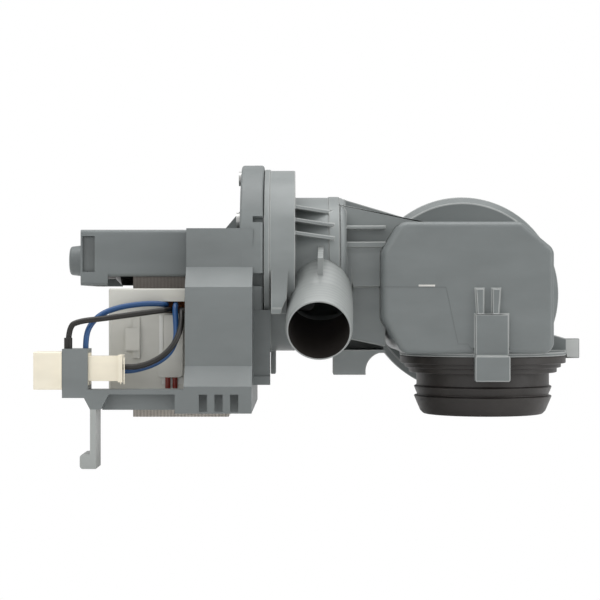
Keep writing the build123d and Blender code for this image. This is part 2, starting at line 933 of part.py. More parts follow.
def make_foot():
    """Foot below the duct: a web with a hollowed side and a stiff left edge."""
    y0 = -duct_half_width + duct_step
    y1 = y0 + foot_depth
    start = (foot_right_x, y0, foot_low_z)
    middle = (foot_arc_sag_x, y0, foot_arc_sag_z)
    end = (foot_tip_x, y0, foot_high_z)
    arc = ThreePointArc(start, middle, end)
    rest = Polyline(
        end,
        (foot_tip_x, y0, foot_high_z + duct_rib),
        (foot_left_x, y0, foot_high_z + duct_rib),
        (foot_left_x, y0, foot_low_z),
        start,
    )
    return extrude(make_face(arc + rest), amount=y1 - y0, dir=(0, 1, 0))


def nozzle_solid():
    """Outer shape of the hose nozzle with its bevelled mouth and top fin."""
    end = nozzle_length - nozzle_mouth_band
    grip = end - nozzle_grip_length
    body = make_nozzle_rod(nozzle_radius, grip, end) + make_nozzle_taper(0, grip)
    frame = nozzle_frame()
    tip = frame * Pos(0, 0, end + nozzle_mouth_band / 2) * Cone(
        nozzle_radius, nozzle_radius - nozzle_mouth_bevel, nozzle_mouth_band
    )
    body += tip
    fin = Box(nozzle_fin_width, nozzle_radius + nozzle_fin_rise, nozzle_fin_length)
    place = Pos(0, (nozzle_radius + nozzle_fin_rise) / 2, nozzle_fin_start + nozzle_fin_length / 2)
    return body + frame * place * fin


def make_outlet_nozzle():
    """Slanted hose nozzle, bored through and fitted to the drum of the volute."""
    return nozzle_solid() - nozzle_bore() - chamber_outside()


def screw_places(x):
    """Centres of the flange screws at a place along the axis."""
    places = []
    for index in range(screw_count):
        angle = math.radians(screw_first_angle + screw_pitch_angle * index)
        y = screw_circle * math.cos(angle)
        z = axis_height + screw_circle * math.sin(angle)
        places.append((x, y, z))
    return places


def make_flange_screws():
    """Screws that hold the bracket flange to the pump ring, as separate solids."""
    screws = []
    for x, y, z in screw_places(flange_x0):
        shank = rod_x(screw_radius, x - screw_head / 2, x + screw_length, y, z)
        head = rod_x(screw_head_radius, x - screw_head, x, y, z)
        screws.append(shank + head)
    return screws


def skirt_outline(inset):
    """Stepped section of the bracket skirt in Y and Z, outer or inset."""
    upper = skirt_upper_half - inset
    main = skirt_main_half - inset
    cage = skirt_cage_half - inset
    top = axis_height + skirt_top_rise - inset
    knee = inset / 2
    drop = overrun if inset > 0 else 0
    return [
        (-upper, top),
        (-upper, axis_height - skirt_upper_drop - knee),
        (-main, axis_height - skirt_main_drop - knee),
        (-main, axis_height - skirt_main_low_drop - knee),
        (-cage, axis_height - skirt_cage_drop - knee),
        (-cage, axis_height - skirt_bottom_drop - drop),
        (upper, axis_height - skirt_bottom_drop - drop),
        (upper, top),
    ]


def make_motor_bracket():
    """Flange, stepped skirt, vent cage, connector arm and holder."""
    body = rod_x(flange_radius, flange_x0, flange_x1)
    body = fillet(body.edges(), flange_round)
    body += prism_x(skirt_outline(0), skirt_x0, skirt_x1)
    body += make_gussets()
    cavity_x1 = skirt_x1 - skirt_end_wall
    body -= prism_x(skirt_outline(skirt_wall), skirt_x0 - overrun, cavity_x1)
    back_low = axis_height - skirt_back_drop
    body -= block(
        skirt_x0 - overrun,
        cavity_x1,
        skirt_upper_half - skirt_wall - overrun,
        skirt_upper_half + overrun,
        axis_height - skirt_bottom_drop - overrun,
        back_low,
    )
    cage_y = -skirt_cage_half + vent_wall_depth
    bottom = axis_height - skirt_bottom_drop
    body += block(skirt_x0, cavity_x1, cage_y, cage_y + skirt_wall, bottom, arm_top_z)
    body -= rod_x(can_radius + joint_gap, cavity_x1 - overrun, flange_x1 + overrun)
    recess_x0 = flange_x1 - can_flange - joint_gap
    body -= rod_x(can_flange_radius + joint_gap, recess_x0, flange_x1 + overrun)
    body -= flange_windows()
    body += make_apron()
    for index in range(vent_count):
        x = vent_first_x + index * vent_pitch
        y0 = -skirt_cage_half - overrun
        y1 = -skirt_cage_half + skirt_wall + overrun
        body -= block(x, x + vent_width, y0, y1, vent_low_z, vent_high_z)
    for x, y, z in screw_places(flange_x0):
        body -= rod_x(screw_radius + running_gap, x - overrun, x + flange_thickness + overrun, y, z)
    return body + make_arm() + make_holder()


def flange_windows():
    """Notches round the rim of the flange and the locking window at the outlet side."""
    x0 = flange_x1 - notch_length
    x1 = flange_x1 + overrun
    inner = flange_radius - notch_depth
    notch = block(x0, x1, inner, flange_radius + overrun, -notch_height / 2, notch_height / 2)
    cuts = []
    for index in range(notch_count):
        angle = notch_first_angle + 360 / notch_count * index
        cuts.append(Pos(0, 0, axis_height) * Rotation(angle, 0, 0) * notch)
    window = block(
        x0,
        x1,
        -flange_radius - overrun,
        -flange_radius + window_depth,
        axis_height - window_low_drop,
        axis_height - window_high_drop,
    )
    for cut in cuts:
        window += cut
    return window


def make_apron():
    """Thin apron of the bracket that stands in front of the lower part of the ring."""
    left = skirt_x1 - skirt_end_wall
    back = apron_front_y + apron_wall
    body = block(left, apron_right_x, apron_front_y, back, apron_low_z, apron_high_z)
    foot_top = apron_low_z + apron_foot
    return body + block(left, apron_right_x, apron_front_y - apron_wall, back, apron_low_z, foot_top)


def make_gussets():
    """Triangular gussets between the skirt's top and the back of the flange."""
    top = axis_height + skirt_top_rise
    outline = [
        (flange_x0 + overrun, top - overrun),
        (flange_x0 + overrun, top + gusset_rise),
        (flange_x0, top + gusset_rise),
        (flange_x0 - gusset_length, top),
        (flange_x0 - gusset_length, top - slip_gap),
    ]
    front = prism_y(outline, gusset_y - gusset_thickness, gusset_y)
    return front + prism_y(outline, -gusset_y, -gusset_y + gusset_thickness)


def make_arm():
    """Connector arm: top rail, recess with its back panel, pier and end rib."""
    right = skirt_x0 + overrun
    rib_x = skirt_x0 - arm_rib_width
    bottom = axis_height - skirt_bottom_drop
    outline = [
        (arm_left_x, arm_top_z),
        (right, arm_top_z),
        (right, bottom),
        (rib_x, bottom),
        (rib_x, arm_recess_top_z),
        (arm_recess_left_x, arm_recess_top_z),
        (arm_slope_x, arm_pier_z),
        (hook_right_x - hook_thickness, arm_pier_z),
        (arm_step_x, arm_step_z),
        (arm_left_x, arm_step_z),
    ]
    body = prism_y(outline, -skirt_cage_half, arm_back_y)
    body += block(
        arm_slope_x,
        right,
        arm_back_y - arm_panel,
        arm_back_y,
        arm_panel_low_z,
        arm_top_z,
    )
    return body - prism_x(skirt_outline(skirt_wall), skirt_x0, right + overrun)


def make_holder():
    """Sleeve at the end of the arm that both connectors push into."""
    body = block(
        arm_left_x, holder_right_x, -skirt_cage_half, holder_back_y, arm_step_z, holder_top_z
    )
    body -= block(
        arm_left_x - overrun,
        holder_right_x + overrun,
        -skirt_cage_half + holder_wall,
        holder_back_y - holder_wall,
        arm_top_z + holder_wall,
        holder_top_z - holder_wall,
    )
    return body


def make_hook():
    """Flat hook plate hanging from the arm, with a foot turned to the left."""
    left = hook_right_x - hook_thickness
    plate = block(left, hook_right_x, -skirt_cage_half, hook_back_y, hook_low_z, arm_pier_z)
    foot = block(
        hook_foot_left_x,
        left + slip_gap,
        -skirt_cage_half,
        hook_back_y,
        hook_low_z,
        hook_low_z + hook_foot_height,
    )
    foot = fillet(foot.edges().filter_by(Axis.Y).group_by(Axis.X)[0], hook_round)
    return plate + foot


def make_rear_cover():
    """Rear cover: open-bottomed shell over the poles, slot, lip and stud."""
    low = axis_height - cover_low_drop
    top = axis_height + cover_top_rise
    body = block(cover_x0, cover_x1, -cover_half, cover_half, low, top)
    body += block(
        cover_x0,
        cover_x0 + cover_end_wall + cover_lip_length,
        -cover_half,
        cover_half,
        axis_height - cover_lip_drop,
        low + overrun,
    )
    body = fillet(body.edges().filter_by(Axis.X), cover_round)
    stud = [
        (cover_x0 + overrun, 0),
        (cover_x0 + overrun, stud_radius),
        (cover_x0, stud_radius),
        (cover_x0 - stud_length, stud_tip_radius),
        (cover_x0 - stud_length, 0),
    ]
    stud_body = turned_x(stud)
    stud_body = fillet(stud_body.faces().sort_by(Axis.X)[0].edges(), stud_round)
    body += stud_body
    inner = cover_half - cover_wall
    body -= block(
        cover_x0 + cover_end_wall,
        cover_x1 + overrun,
        -inner,
        inner,
        axis_height - cover_lip_drop - overrun,
        top - cover_wall,
    )
    slot_x0 = cover_x0 + cover_slot_inset
    for side in (-1, 1):
        wall = side * cover_half
        body -= block(
            slot_x0,
            slot_x0 + cover_slot_length,
            wall - side * cover_slot_depth,
            wall + side * overrun,
            axis_height - cover_slot_low,
            axis_height + cover_slot_high,
        )
    return body


def make_rear_damper():
    """Rubber block between the end of the can and the end wall of the cover."""
    return rod_x(damper_radius, cover_x0 + cover_end_wall, can_x0)


def make_stator_core():
    """Lamination stack: yoke, two legs and pole arcs round the can."""
    bottom = axis_height - core_bottom_drop
    top = axis_height + core_top_rise
    body = block(stack_x0, stack_x1, -core_half, core_half, bottom, bottom + yoke_height)
    for side in (-1, 1):
        inner = side * (core_half - leg_width)
        body += block(stack_x0, stack_x1, inner, side * core_half, bottom, top)
    pole_low = axis_height - coil_top_drop + pole_gap
    body += block(stack_x0, stack_x1, -core_half, core_half, pole_low, top)
    bore = rod_x(can_radius + pole_gap, stack_x0 - overrun, stack_x1 + overrun)
    return body - bore


def coil_block(grow, low, high):
    """Block round one leg of the core, grown sideways by a distance."""
    leg_inner = core_half - leg_width
    return block(
        stack_x0 - grow, stack_x1 + grow, leg_inner - grow, core_half + grow, low, high
    )


def make_coil_bobbin(side):
    """Bobbin on one leg: rectangular tube with a flange at each end."""
    low = axis_height - coil_low_drop
    high = axis_height - coil_top_drop - coil_cover_wall - slip_gap
    outer = slip_gap + bobbin_wall
    body = coil_block(outer, low, high)
    edge = outer + winding_depth
    for z in (low, high - bobbin_flange):
        body += coil_block(edge, z, z + bobbin_flange)
    body -= coil_block(slip_gap, low - overrun, high + overrun)
    return body if side > 0 else mirror(body, about=Plane.XZ)


def make_coil_winding(side):
    """Copper winding between the flanges of one bobbin."""
    low = axis_height - coil_low_drop + bobbin_flange
    high = axis_height - coil_top_drop - coil_cover_wall - slip_gap - bobbin_flange
    inner = slip_gap + bobbin_wall
    body = coil_block(inner + winding_depth - coil_gap, low, high)
    body = fillet(body.edges().filter_by(Axis.Z), winding_round)
    body -= coil_block(inner, low - overrun, high + overrun)
    return body if side > 0 else mirror(body, about=Plane.XZ)


def make_coil_cover():
    """Light cover over both coils, with latch, side block and wire guide."""
    x0 = stack_x0 - coil_cover_left
    x1 = skirt_x1 - skirt_end_wall - coil_cover_right_gap
    high = axis_height - coil_top_drop
    low = axis_height - coil_low_drop
    body = block(x0, x1, -coil_cover_half, coil_cover_half, low, high)
    body = fillet(body.edges().filter_by(Axis.Z), coil_cover_round)
    body = fillet(body.faces().sort_by(Axis.Z)[-1].edges(), coil_cover_round / 2)
    front = -coil_cover_half
    reach = coil_cover_wall / 2
    body += block(
        latch_x - latch_width / 2,
        latch_x + latch_width / 2,
        front - latch_depth,
        front + reach,
        latch_low_z,
        latch_high_z,
    )
    body += block(
        latch_x + latch_width / 2 - latch_block_width,
        latch_x + latch_width / 2,
        front - latch_block_depth,
        front + reach,
        latch_block_low_z,
        latch_block_high_z,
    )
    body += block(
        side_block_left_x,
        side_block_right_x,
        front - side_block_depth,
        front + reach,
        side_block_low_z,
        side_block_high_z,
    )
    body += block(guide_left_x, guide_right_x, front - guide_depth, front + reach, guide_low_z, guide_high_z)
    boss = block(
        protector_boss_left_x,
        side_block_right_x,
        front - protector_boss_depth,
        front + reach,
        fuse_lead_high_z,
        protector_boss_high_z,
    )
    body += fillet(boss.edges().filter_by(Axis.Y), protector_boss_depth)
    body -= block(
        x0 + coil_cover_wall,
        x1 - coil_cover_wall,
        -coil_cover_half + coil_cover_wall,
        coil_cover_half - coil_cover_wall,
        low - overrun,
        high - coil_cover_wall,
    )
    for side in (-1, 1):
        near = side * (core_half - leg_width - slip_gap)
        far = side * (core_half + slip_gap)
        body -= block(
            stack_x0 - slip_gap, stack_x1 + slip_gap, near, far, high - coil_cover_wall - overrun, high + overrun
        )
    body -= block(
        guide_left_x, guide_right_x, front - reach, front + coil_cover_wall + overrun, guide_hole_low_z, guide_low_z
    )
    return body


def make_rotor_can():
    """Thin tube that keeps the rotor dry, with a closed rear end and a front flange."""
    inner = can_radius - can_wall
    outline = [
        (can_x0, 0),
        (can_x0, can_radius - can_end_round),
        (can_x0 + can_end_round, can_radius),
        (flange_x1 - can_flange, can_radius),
        (flange_x1 - can_flange, can_flange_radius),
        (flange_x1, can_flange_radius),
        (flange_x1, inner),
        (can_x0 + can_end_wall, inner),
        (can_x0 + can_end_wall, 0),
    ]
    return turned_x(outline)


def make_bush(x0, x1):
    """Plain bearing bush for the shaft."""
    return rod_x(bush_radius, x0, x1) - rod_x(shaft_radius + running_gap, x0 - overrun, x1 + overrun)


def make_bush_mount(x0, x1, bush_x0, bush_x1):
    """Rubber ring that carries a bush inside the can."""
    body = rod_x(can_radius - can_wall - slip_gap, x0, x1)
    return body - rod_x(bush_radius + running_gap, bush_x0 - overrun, bush_x1 + overrun)


def make_rotor_magnet():
    """Magnet body with its bore."""
    body = rod_x(magnet_radius, magnet_x0, magnet_x1)
    return body - rod_x(shaft_radius + running_gap, magnet_x0 - overrun, magnet_x1 + overrun)


def make_magnet_dog():
    """Dog on the front end of the magnet."""
    return sector_x(
        dog_inner_radius, dog_outer_radius, magnet_x1, magnet_x1 + dog_length, 90 - dog_angle / 2, dog_angle
    )


def make_drive_cam():
    """Cam on the shaft that the dog pushes after a free part-turn."""
    x0 = magnet_x1 + joint_gap
    x1 = magnet_x1 + dog_length
    hub = rod_x(cam_hub_radius, x0, x1)
    lug = sector_x(cam_hub_radius - slip_gap, dog_outer_radius, x0, x1, 270 - cam_angle / 2, cam_angle)
    return hub + lug - rod_x(shaft_radius, x0 - overrun, x1 + overrun)


def make_impeller():
    """Impeller: hub, back disc and straight radial vanes with a front taper."""
    x0 = impeller_x0
    x1 = x0 + impeller_back + impeller_width
    hub = rod_x(impeller_hub_radius, x0, x1 - nut_length)
    hub = hub + rod_x(impeller_back_radius, x0, x0 + impeller_back)
    vane = [
        (x0 + impeller_back / 2, 0),
        (x0 + impeller_back / 2, impeller_radius),
        (x1 - impeller_gap, impeller_radius),
        (x1, impeller_radius - impeller_gap),
        (x1, impeller_hub_radius),
        (x1 - nut_length, impeller_hub_radius - slip_gap),
        (x1 - nut_length, 0),
    ]
    half = impeller_vane / 2
    points = [(x, axis_height + radius) for x, radius in vane]
    blade = prism_y(points, -half, half)
    body = hub
    for index in range(impeller_vanes):
        angle = 360 / impeller_vanes * index
        body += Pos(0, 0, axis_height) * Rotation(angle, 0, 0) * Pos(0, 0, -axis_height) * blade
    return body - rod_x(shaft_radius, x0 - overrun, x1 + overrun)


def make_basket():
    """Lint basket: slotted cup, open at its inner end towards the duct."""
    axis = (filter_axis_x, filter_axis_z)
    inner = basket_narrow_radius - basket_wall
    outline = [
        (basket_front_y, basket_end_opening),
        (basket_front_y, basket_narrow_radius),
        (basket_taper_y, basket_narrow_radius),
        (basket_taper_y, inner),
        (basket_front_y + basket_wall, inner),
        (basket_front_y + basket_wall, basket_end_opening),
    ]
    body = turned_y(outline, *axis)
    for index in range(basket_slot_count):
        angle = 360 / basket_slot_count * index
        slot = block(
            -basket_slot_width / 2,
            basket_slot_width / 2,
            basket_slot_start_y,
            basket_slot_end_y,
            inner - overrun,
            basket_narrow_radius + overrun,
        )
        body -= Pos(filter_axis_x, 0, filter_axis_z) * Rotation(0, angle, 0) * slot
    return body


def make_basket_mouth():
    """Flared ring between the basket and the sleeve of the cap."""
    inner = basket_narrow_radius - basket_wall
    end_y = cap_sleeve_front_y - joint_gap
    outline = [
        (basket_taper_y, basket_narrow_radius),
        (end_y - basket_wall, basket_radius),
        (end_y, basket_radius),
        (end_y, basket_radius - basket_wall),
        (end_y - basket_wall, basket_radius - basket_wall),
        (basket_taper_y, inner),
    ]
    return turned_y(outline, filter_axis_x, filter_axis_z)


def make_cap():
    """Filter cap: hollow sleeve, notched plate and bar grip."""
    axis = (filter_axis_x, filter_axis_z)
    face = cap_face_y + cap_plate
    body = rod_y(cap_sleeve_radius, cap_sleeve_front_y, cap_face_y, *axis)
    body -= rod_y(
        cap_sleeve_radius - barrel_wall, cap_sleeve_front_y - overrun, cap_face_y - barrel_wall, *axis
    )
    body += rod_y(cap_radius, cap_face_y, face, *axis)
    groove = rod_y(cap_sleeve_radius + overrun, cap_ring_y, cap_ring_y + cap_ring_thickness, *axis)
    core = rod_y(cap_sleeve_radius - cap_ring_thickness / 2, cap_ring_y - overrun, face, *axis)
    body -= groove - core
    for index in range(cap_notch_count):
        angle = 2 * math.pi * index / cap_notch_count
        x = filter_axis_x + cap_radius * math.cos(angle)
        z = filter_axis_z + cap_radius * math.sin(angle)
        body -= rod_y(cap_notch_radius, cap_face_y - overrun, face + overrun, x, z)
    half = cap_grip_length / 2
    grip = block(
        filter_axis_x - half,
        filter_axis_x + half,
        face - slip_gap,
        face + cap_grip_height,
        filter_axis_z - cap_grip_width / 2,
        filter_axis_z + cap_grip_width / 2,
    )
    grip = fillet(grip.faces().sort_by(Axis.Y)[-1].edges(), cap_grip_round)
    return body + grip


def make_cap_ring():
    """Rubber ring in the groove of the cap sleeve."""
    axis = (filter_axis_x, filter_axis_z)
    bore = barrel_radius - barrel_wall - running_gap
    core = cap_sleeve_radius - cap_ring_thickness / 2
    y1 = cap_ring_y + cap_ring_thickness
    return rod_y(bore, cap_ring_y, y1, *axis) - rod_y(core, cap_ring_y - overrun, y1 + overrun, *axis)


def make_can_o_ring():
    """Round sealing ring between the can flange and the pump ring."""
    section = o_ring_thickness / 2
    face = Plane.XZ.offset(0) * Pos(ring_x0 + section, axis_height + o_ring_radius) * Circle(section)
    return revolve(face, Axis((0, 0, axis_height), (1, 0, 0)))


def make_connector_socket():
    """Cream connector left of the holder, open to the left, with a nose in the holder."""
    x1 = arm_left_x - slip_gap
    body = block(socket_left_x, x1, socket_front_y, socket_back_y, socket_low_z, socket_high_z)
    body = fillet(body.edges().filter_by(Axis.X), socket_round)
    inside = holder_wall + slip_gap
    body += block(
        x1 - slip_gap,
        (arm_left_x + holder_right_x) / 2 - slip_gap,
        -skirt_cage_half + inside,
        holder_back_y - inside,
        arm_top_z + inside,
        holder_top_z - inside,
    )
    body -= block(
        socket_left_x - overrun,
        socket_left_x + socket_depth,
        socket_front_y + socket_wall,
        socket_back_y - socket_wall,
        socket_low_z + socket_wall,
        socket_high_z - socket_wall,
    )
    return body


def make_socket_pins():
    """Contacts that stand in the connector."""
    pins = []
    y = (socket_front_y + socket_back_y) / 2
    middle = (socket_low_z + socket_high_z) / 2
    x0 = socket_left_x + socket_depth
    for index in range(pin_count):
        z = middle + (index - (pin_count - 1) / 2) * pin_pitch
        half = pin_side / 2
        pins.append(block(x0 - pin_length, x0, y - half, y + half, z - half, z + half))
    return pins


def make_connector_plug():
    """Cream plug right of the holder, with a nose in the holder and a rear flange."""
    x0 = holder_right_x + slip_gap
    body = block(x0, plug_right_x, plug_front_y, plug_back_y, plug_low_z, plug_high_z)
    body += block(
        plug_right_x - plug_flange,
        plug_right_x,
        plug_front_y - plug_flange_rise,
        plug_back_y + plug_flange_rise,
        plug_low_z - plug_flange_rise,
        plug_high_z + plug_flange_rise,
    )
    inside = holder_wall + slip_gap
    body += block(
        (arm_left_x + holder_right_x) / 2 + slip_gap,
        x0 + slip_gap,
        -skirt_cage_half + inside,
        holder_back_y - inside,
        arm_top_z + inside,
        holder_top_z - inside,
    )
    return body


def lead_tube(points, radius):
    """A lead along straight runs joined by arcs as large as the runs allow."""
    radii = []
    for before, corner, after in zip(points, points[1:], points[2:]):
        first = Vector(*corner) - Vector(*before)
        second = Vector(*after) - Vector(*corner)
        turn = math.radians(first.get_angle(second))
        shorter = min(first.length, second.length)
        radii.append(lead_arc_share * shorter / math.tan(turn / 2))
    path = FilletPolyline(*points, radius=radii)
    start = path.location_at(0).position
    section = Plane(origin=start, z_dir=path.tangent_at(0)) * Circle(radius)
    tube = sweep(section, path=path)
    expected = math.pi * radius ** 2 * path.length
    print("lead", [round(value, 1) for value in radii], round(tube.volume / expected, 4))
    return tube


def placed_route(points):
    """A route moved along with the skirt, the arm and the motor axis."""
    x = skirt_x0 - lead_route_left
    y = lead_route_half - skirt_cage_half
    z = axis_height - lead_route_height
    return [(point[0] + x, point[1] + y, point[2] + z) for point in points]


# Routes of the leads, from the connector end to the wire guide.
# A lead's points are chosen by hand, to follow the curves of the real one.
lead_blue_upper_route = [
    (-169.9, -52.0, 30.2),
    (-169.9, -52.0, 35.2),
    (-168.2, -48.8, 40.4),
    (-163.6, -46.4, 44.8),
    (-156.0, -44.6, 47.4),
    (-147.4, -43.4, 48.6),
    (-140.8, -43.0, 48.7),
    (-137.6, -41.4, 48.2),
    (-137.6, -38.2, 48.2),
]
lead_black_upper_route = [
    (-176.9, -54.0, 30.2),
    (-176.9, -54.0, 39.4),
    (-172.0, -53.2, 41.5),
    (-164.4, -51.4, 42.3),
    (-155.6, -48.6, 43.5),
    (-146.6, -46.6, 44.8),
    (-139.0, -45.2, 45.8),
    (-136.0, -42.4, 46.1),
    (-136.0, -38.2, 46.1),
]
lead_blue_lower_route = [
    (-133.5, -38.2, 48.2),
    (-133.5, -41.4, 48.2),
    (-133.5, -43.4, 45.2),
    (-132.9, -45.4, 39.4),
    (-132.7, -48.0, 33.2),
    (-135.6, -50.0, 27.4),
    (-141.2, -51.4, 23.6),
    (-147.4, -51.8, 21.6),
    (-151.6, -51.8, 20.8),
    (-154.1, -51.8, 20.8),
]
lead_black_lower_route = [
    (-131.0, -38.2, 46.1),
    (-131.0, -42.6, 46.1),
    (-130.5, -45.9, 43.0),
    (-130.9, -49.6, 37.2),
    (-133.6, -52.8, 31.2),
    (-138.0, -54.8, 26.8),
    (-143.8, -55.8, 23.8),
    (-148.8, -55.6, 22.6),
    (-152.0, -55.4, 22.6),
    (-154.1, -55.4, 22.6),
]
lead_routes = {
    "lead_blue_upper": placed_route(lead_blue_upper_route),
    "lead_black_upper": placed_route(lead_black_upper_route),
    "lead_blue_lower": placed_route(lead_blue_lower_route),
    "lead_black_lower": placed_route(lead_black_lower_route),
}


def make_terminal_pins():
    """Coil terminals that the leads are joined to, behind the guide hole."""
    winding_y = -(core_half + slip_gap + bobbin_wall + winding_depth - coil_gap)
    half = pin_side / 2
    pins = []
    for route in lead_routes.values():
        x, y, z = max(route, key=lambda point: point[1])
        pins.append(block(x - half, x + half, y, winding_y, z - half, z + half))
    return pins


def make_thrust_washer():
    """Washer on the shaft, between the drive cam and the front bush."""
    x0 = front_mount_x0 - washer_thickness
    body = rod_x(washer_radius, x0, front_mount_x0)
    return body - rod_x(shaft_radius + running_gap, x0 - overrun, front_mount_x0 + overrun)


def make_lead_sleeve():
    """Thicker sleeve where the black lead leaves the holder."""
    x, y, z = lead_routes["lead_black_upper"][0]
    body = rod_z(sleeve_radius, holder_top_z, holder_top_z + sleeve_length, x, y)
    return body - rod_z(lead_radius + running_gap, z - overrun, z + sleeve_length + overrun, x, y)


def make_fuse_leads():
    """Two short sleeved leads between the protector and the coil."""
    y = -coil_cover_half - fuse_lead_radius - slip_gap
    leads = []
    for index in (0, 1):
        x = fuse_x + (index - 1) * fuse_pitch
        leads.append(rod_z(fuse_lead_radius, fuse_lead_low_z, fuse_lead_high_z, x, y))
    return leads


def make_thermal_protector():
    """Flat thermal cut-out lying on the end of the front winding."""
    x0 = stack_x0 - coil_cover_left + coil_cover_wall + slip_gap
    x1 = stack_x0 - slip_gap - bobbin_wall - winding_depth + coil_gap
    y = -core_half + leg_width / 2
    half = protector_length / 2
    return block(x0, x1, y - half, y + half, protector_low_z, protector_low_z + protector_height)


def make_shaft():
    """Steel shaft through both bushes, the magnet, the cam and the impeller."""
    x0 = can_x0 + can_end_wall + shaft_tip_gap
    x1 = impeller_x0 + impeller_back + impeller_width - nut_length
    return rod_x(shaft_radius, x0, x1)


def make_impeller_nut():
    """Cap nut in front of the impeller hub."""
    x0 = impeller_x0 + impeller_back + impeller_width - nut_length
    return rod_x(nut_radius, x0, x0 + nut_length)


def save(name, shape):
    """Write one node; a list is a group of separate solids."""
    solids = shape if isinstance(shape, list) else [shape]
    loose = []
    for item in solids:
        loose.extend(item.solids())
    if len(loose) > 1:
        result = Compound(children=loose)
    else:
        result = loose[0]
    export_step(result, "parts/" + name + ".step")


def main():
    os.makedirs("parts", exist_ok=True)
    rear_x0 = can_x0 + can_end_wall
    rear_x1 = rear_x0 + bush_length
    save("inlet_seal", make_inlet_seal())
    save("filter_housing", make_filter_housing())
    save("filter_barrel", make_filter_barrel())
    save("pump_chamber", make_pump_chamber())
    save("outlet_nozzle", make_outlet_nozzle())
    save("motor_bracket", make_motor_bracket())
    save("bracket_hook", make_hook())
    save("flange_screws", make_flange_screws())
    save("rear_cover", make_rear_cover())
    save("rear_damper", make_rear_damper())
    save("stator_core", make_stator_core())
    save("coil_bobbin_front", make_coil_bobbin(-1))
    save("coil_bobbin_back", make_coil_bobbin(1))
    save("coil_winding_front", make_coil_winding(-1))
    save("coil_winding_back", make_coil_winding(1))
    save("coil_cover", make_coil_cover())
    save("thermal_protector", make_thermal_protector())
    save("fuse_leads", make_fuse_leads())
    save("rotor_can", make_rotor_can())
    save("can_o_ring", make_can_o_ring())
    save("rear_bush", make_bush(rear_x0, rear_x1))
    save("rear_bush_mount", make_bush_mount(rear_x0, rear_x1, rear_x0, rear_x1))
    save("front_bush", make_bush(front_mount_x0, front_mount_x1 - joint_gap))
    front = (front_mount_x0, front_mount_x1)
    save("front_bush_mount", make_bush_mount(*front, *front))
    save("rotor_magnet", make_rotor_magnet())
    save("magnet_dog", make_magnet_dog())
    save("rotor_shaft", make_shaft())
    save("drive_cam", make_drive_cam())
    save("impeller", make_impeller())
    save("impeller_nut", make_impeller_nut())
    save("filter_basket", make_basket())
    save("basket_mouth", make_basket_mouth())
    save("filter_cap", make_cap())
    save("filter_seal_ring", make_cap_ring())
    save("connector_socket", make_connector_socket())
    save("socket_pins", make_socket_pins())
    save("connector_plug", make_connector_plug())
    for name, route in lead_routes.items():
        save(name, lead_tube(route, lead_radius))
    save("terminal_pins", make_terminal_pins())
    save("thrust_washer", make_thrust_washer())
    save("lead_sleeve", make_lead_sleeve())


main()
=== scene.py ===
import json
import math
import bmesh
import bpy
from mathutils import Matrix, Vector

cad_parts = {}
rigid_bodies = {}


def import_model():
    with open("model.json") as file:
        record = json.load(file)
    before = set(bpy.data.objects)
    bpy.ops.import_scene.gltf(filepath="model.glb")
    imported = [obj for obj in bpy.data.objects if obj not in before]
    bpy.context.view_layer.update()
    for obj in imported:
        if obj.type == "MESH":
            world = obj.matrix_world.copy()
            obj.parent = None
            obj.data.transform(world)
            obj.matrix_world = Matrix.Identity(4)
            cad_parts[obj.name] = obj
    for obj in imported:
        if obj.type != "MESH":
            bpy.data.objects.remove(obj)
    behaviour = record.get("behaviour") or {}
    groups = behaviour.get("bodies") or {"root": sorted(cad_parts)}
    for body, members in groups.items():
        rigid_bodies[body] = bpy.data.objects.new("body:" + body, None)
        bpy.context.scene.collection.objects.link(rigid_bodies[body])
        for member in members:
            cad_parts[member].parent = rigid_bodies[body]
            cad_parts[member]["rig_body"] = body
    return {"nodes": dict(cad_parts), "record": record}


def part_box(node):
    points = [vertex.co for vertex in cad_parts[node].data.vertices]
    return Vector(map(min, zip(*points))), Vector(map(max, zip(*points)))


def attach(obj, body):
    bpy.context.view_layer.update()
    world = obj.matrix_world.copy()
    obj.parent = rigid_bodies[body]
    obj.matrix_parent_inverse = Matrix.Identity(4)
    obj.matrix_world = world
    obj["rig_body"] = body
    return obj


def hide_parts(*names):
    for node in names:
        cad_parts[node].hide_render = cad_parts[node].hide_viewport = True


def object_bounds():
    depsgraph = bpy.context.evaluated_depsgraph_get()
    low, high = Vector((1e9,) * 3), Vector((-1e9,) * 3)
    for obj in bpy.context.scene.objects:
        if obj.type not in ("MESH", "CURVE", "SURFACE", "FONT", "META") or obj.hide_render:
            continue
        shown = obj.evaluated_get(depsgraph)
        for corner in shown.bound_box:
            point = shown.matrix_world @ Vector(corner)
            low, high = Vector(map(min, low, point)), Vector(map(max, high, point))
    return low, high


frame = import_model()
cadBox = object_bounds()
mm = 0.001
slotOf = {entry["node"]: entry["material_slot"] for entry in frame["record"]["subparts"]}
print("frame loaded", len(frame["nodes"]))


def newGroup(name, inputs, outputs):
    group = bpy.data.node_groups.new(name, "ShaderNodeTree")
    for label, kind, value in inputs:
        socket = group.interface.new_socket(label, in_out="INPUT", socket_type=kind)
        socket.default_value = value
    for label, kind in outputs:
        group.interface.new_socket(label, in_out="OUTPUT", socket_type=kind)
    start = group.nodes.new("NodeGroupInput")
    end = group.nodes.new("NodeGroupOutput")
    return group, start, end


def noise(tree, vector, scale, detail, stretch=None):
    if stretch:  # longer along one axis, like flow marks
        mapping = tree.nodes.new("ShaderNodeMapping")
        mapping.inputs["Scale"].default_value = stretch
        tree.links.new(vector, mapping.inputs["Vector"])
        vector = mapping.outputs["Vector"]
    node = tree.nodes.new("ShaderNodeTexNoise")
    node.inputs["Scale"].default_value = scale
    node.inputs["Detail"].default_value = detail
    tree.links.new(vector, node.inputs["Vector"])
    return node.outputs["Fac"]


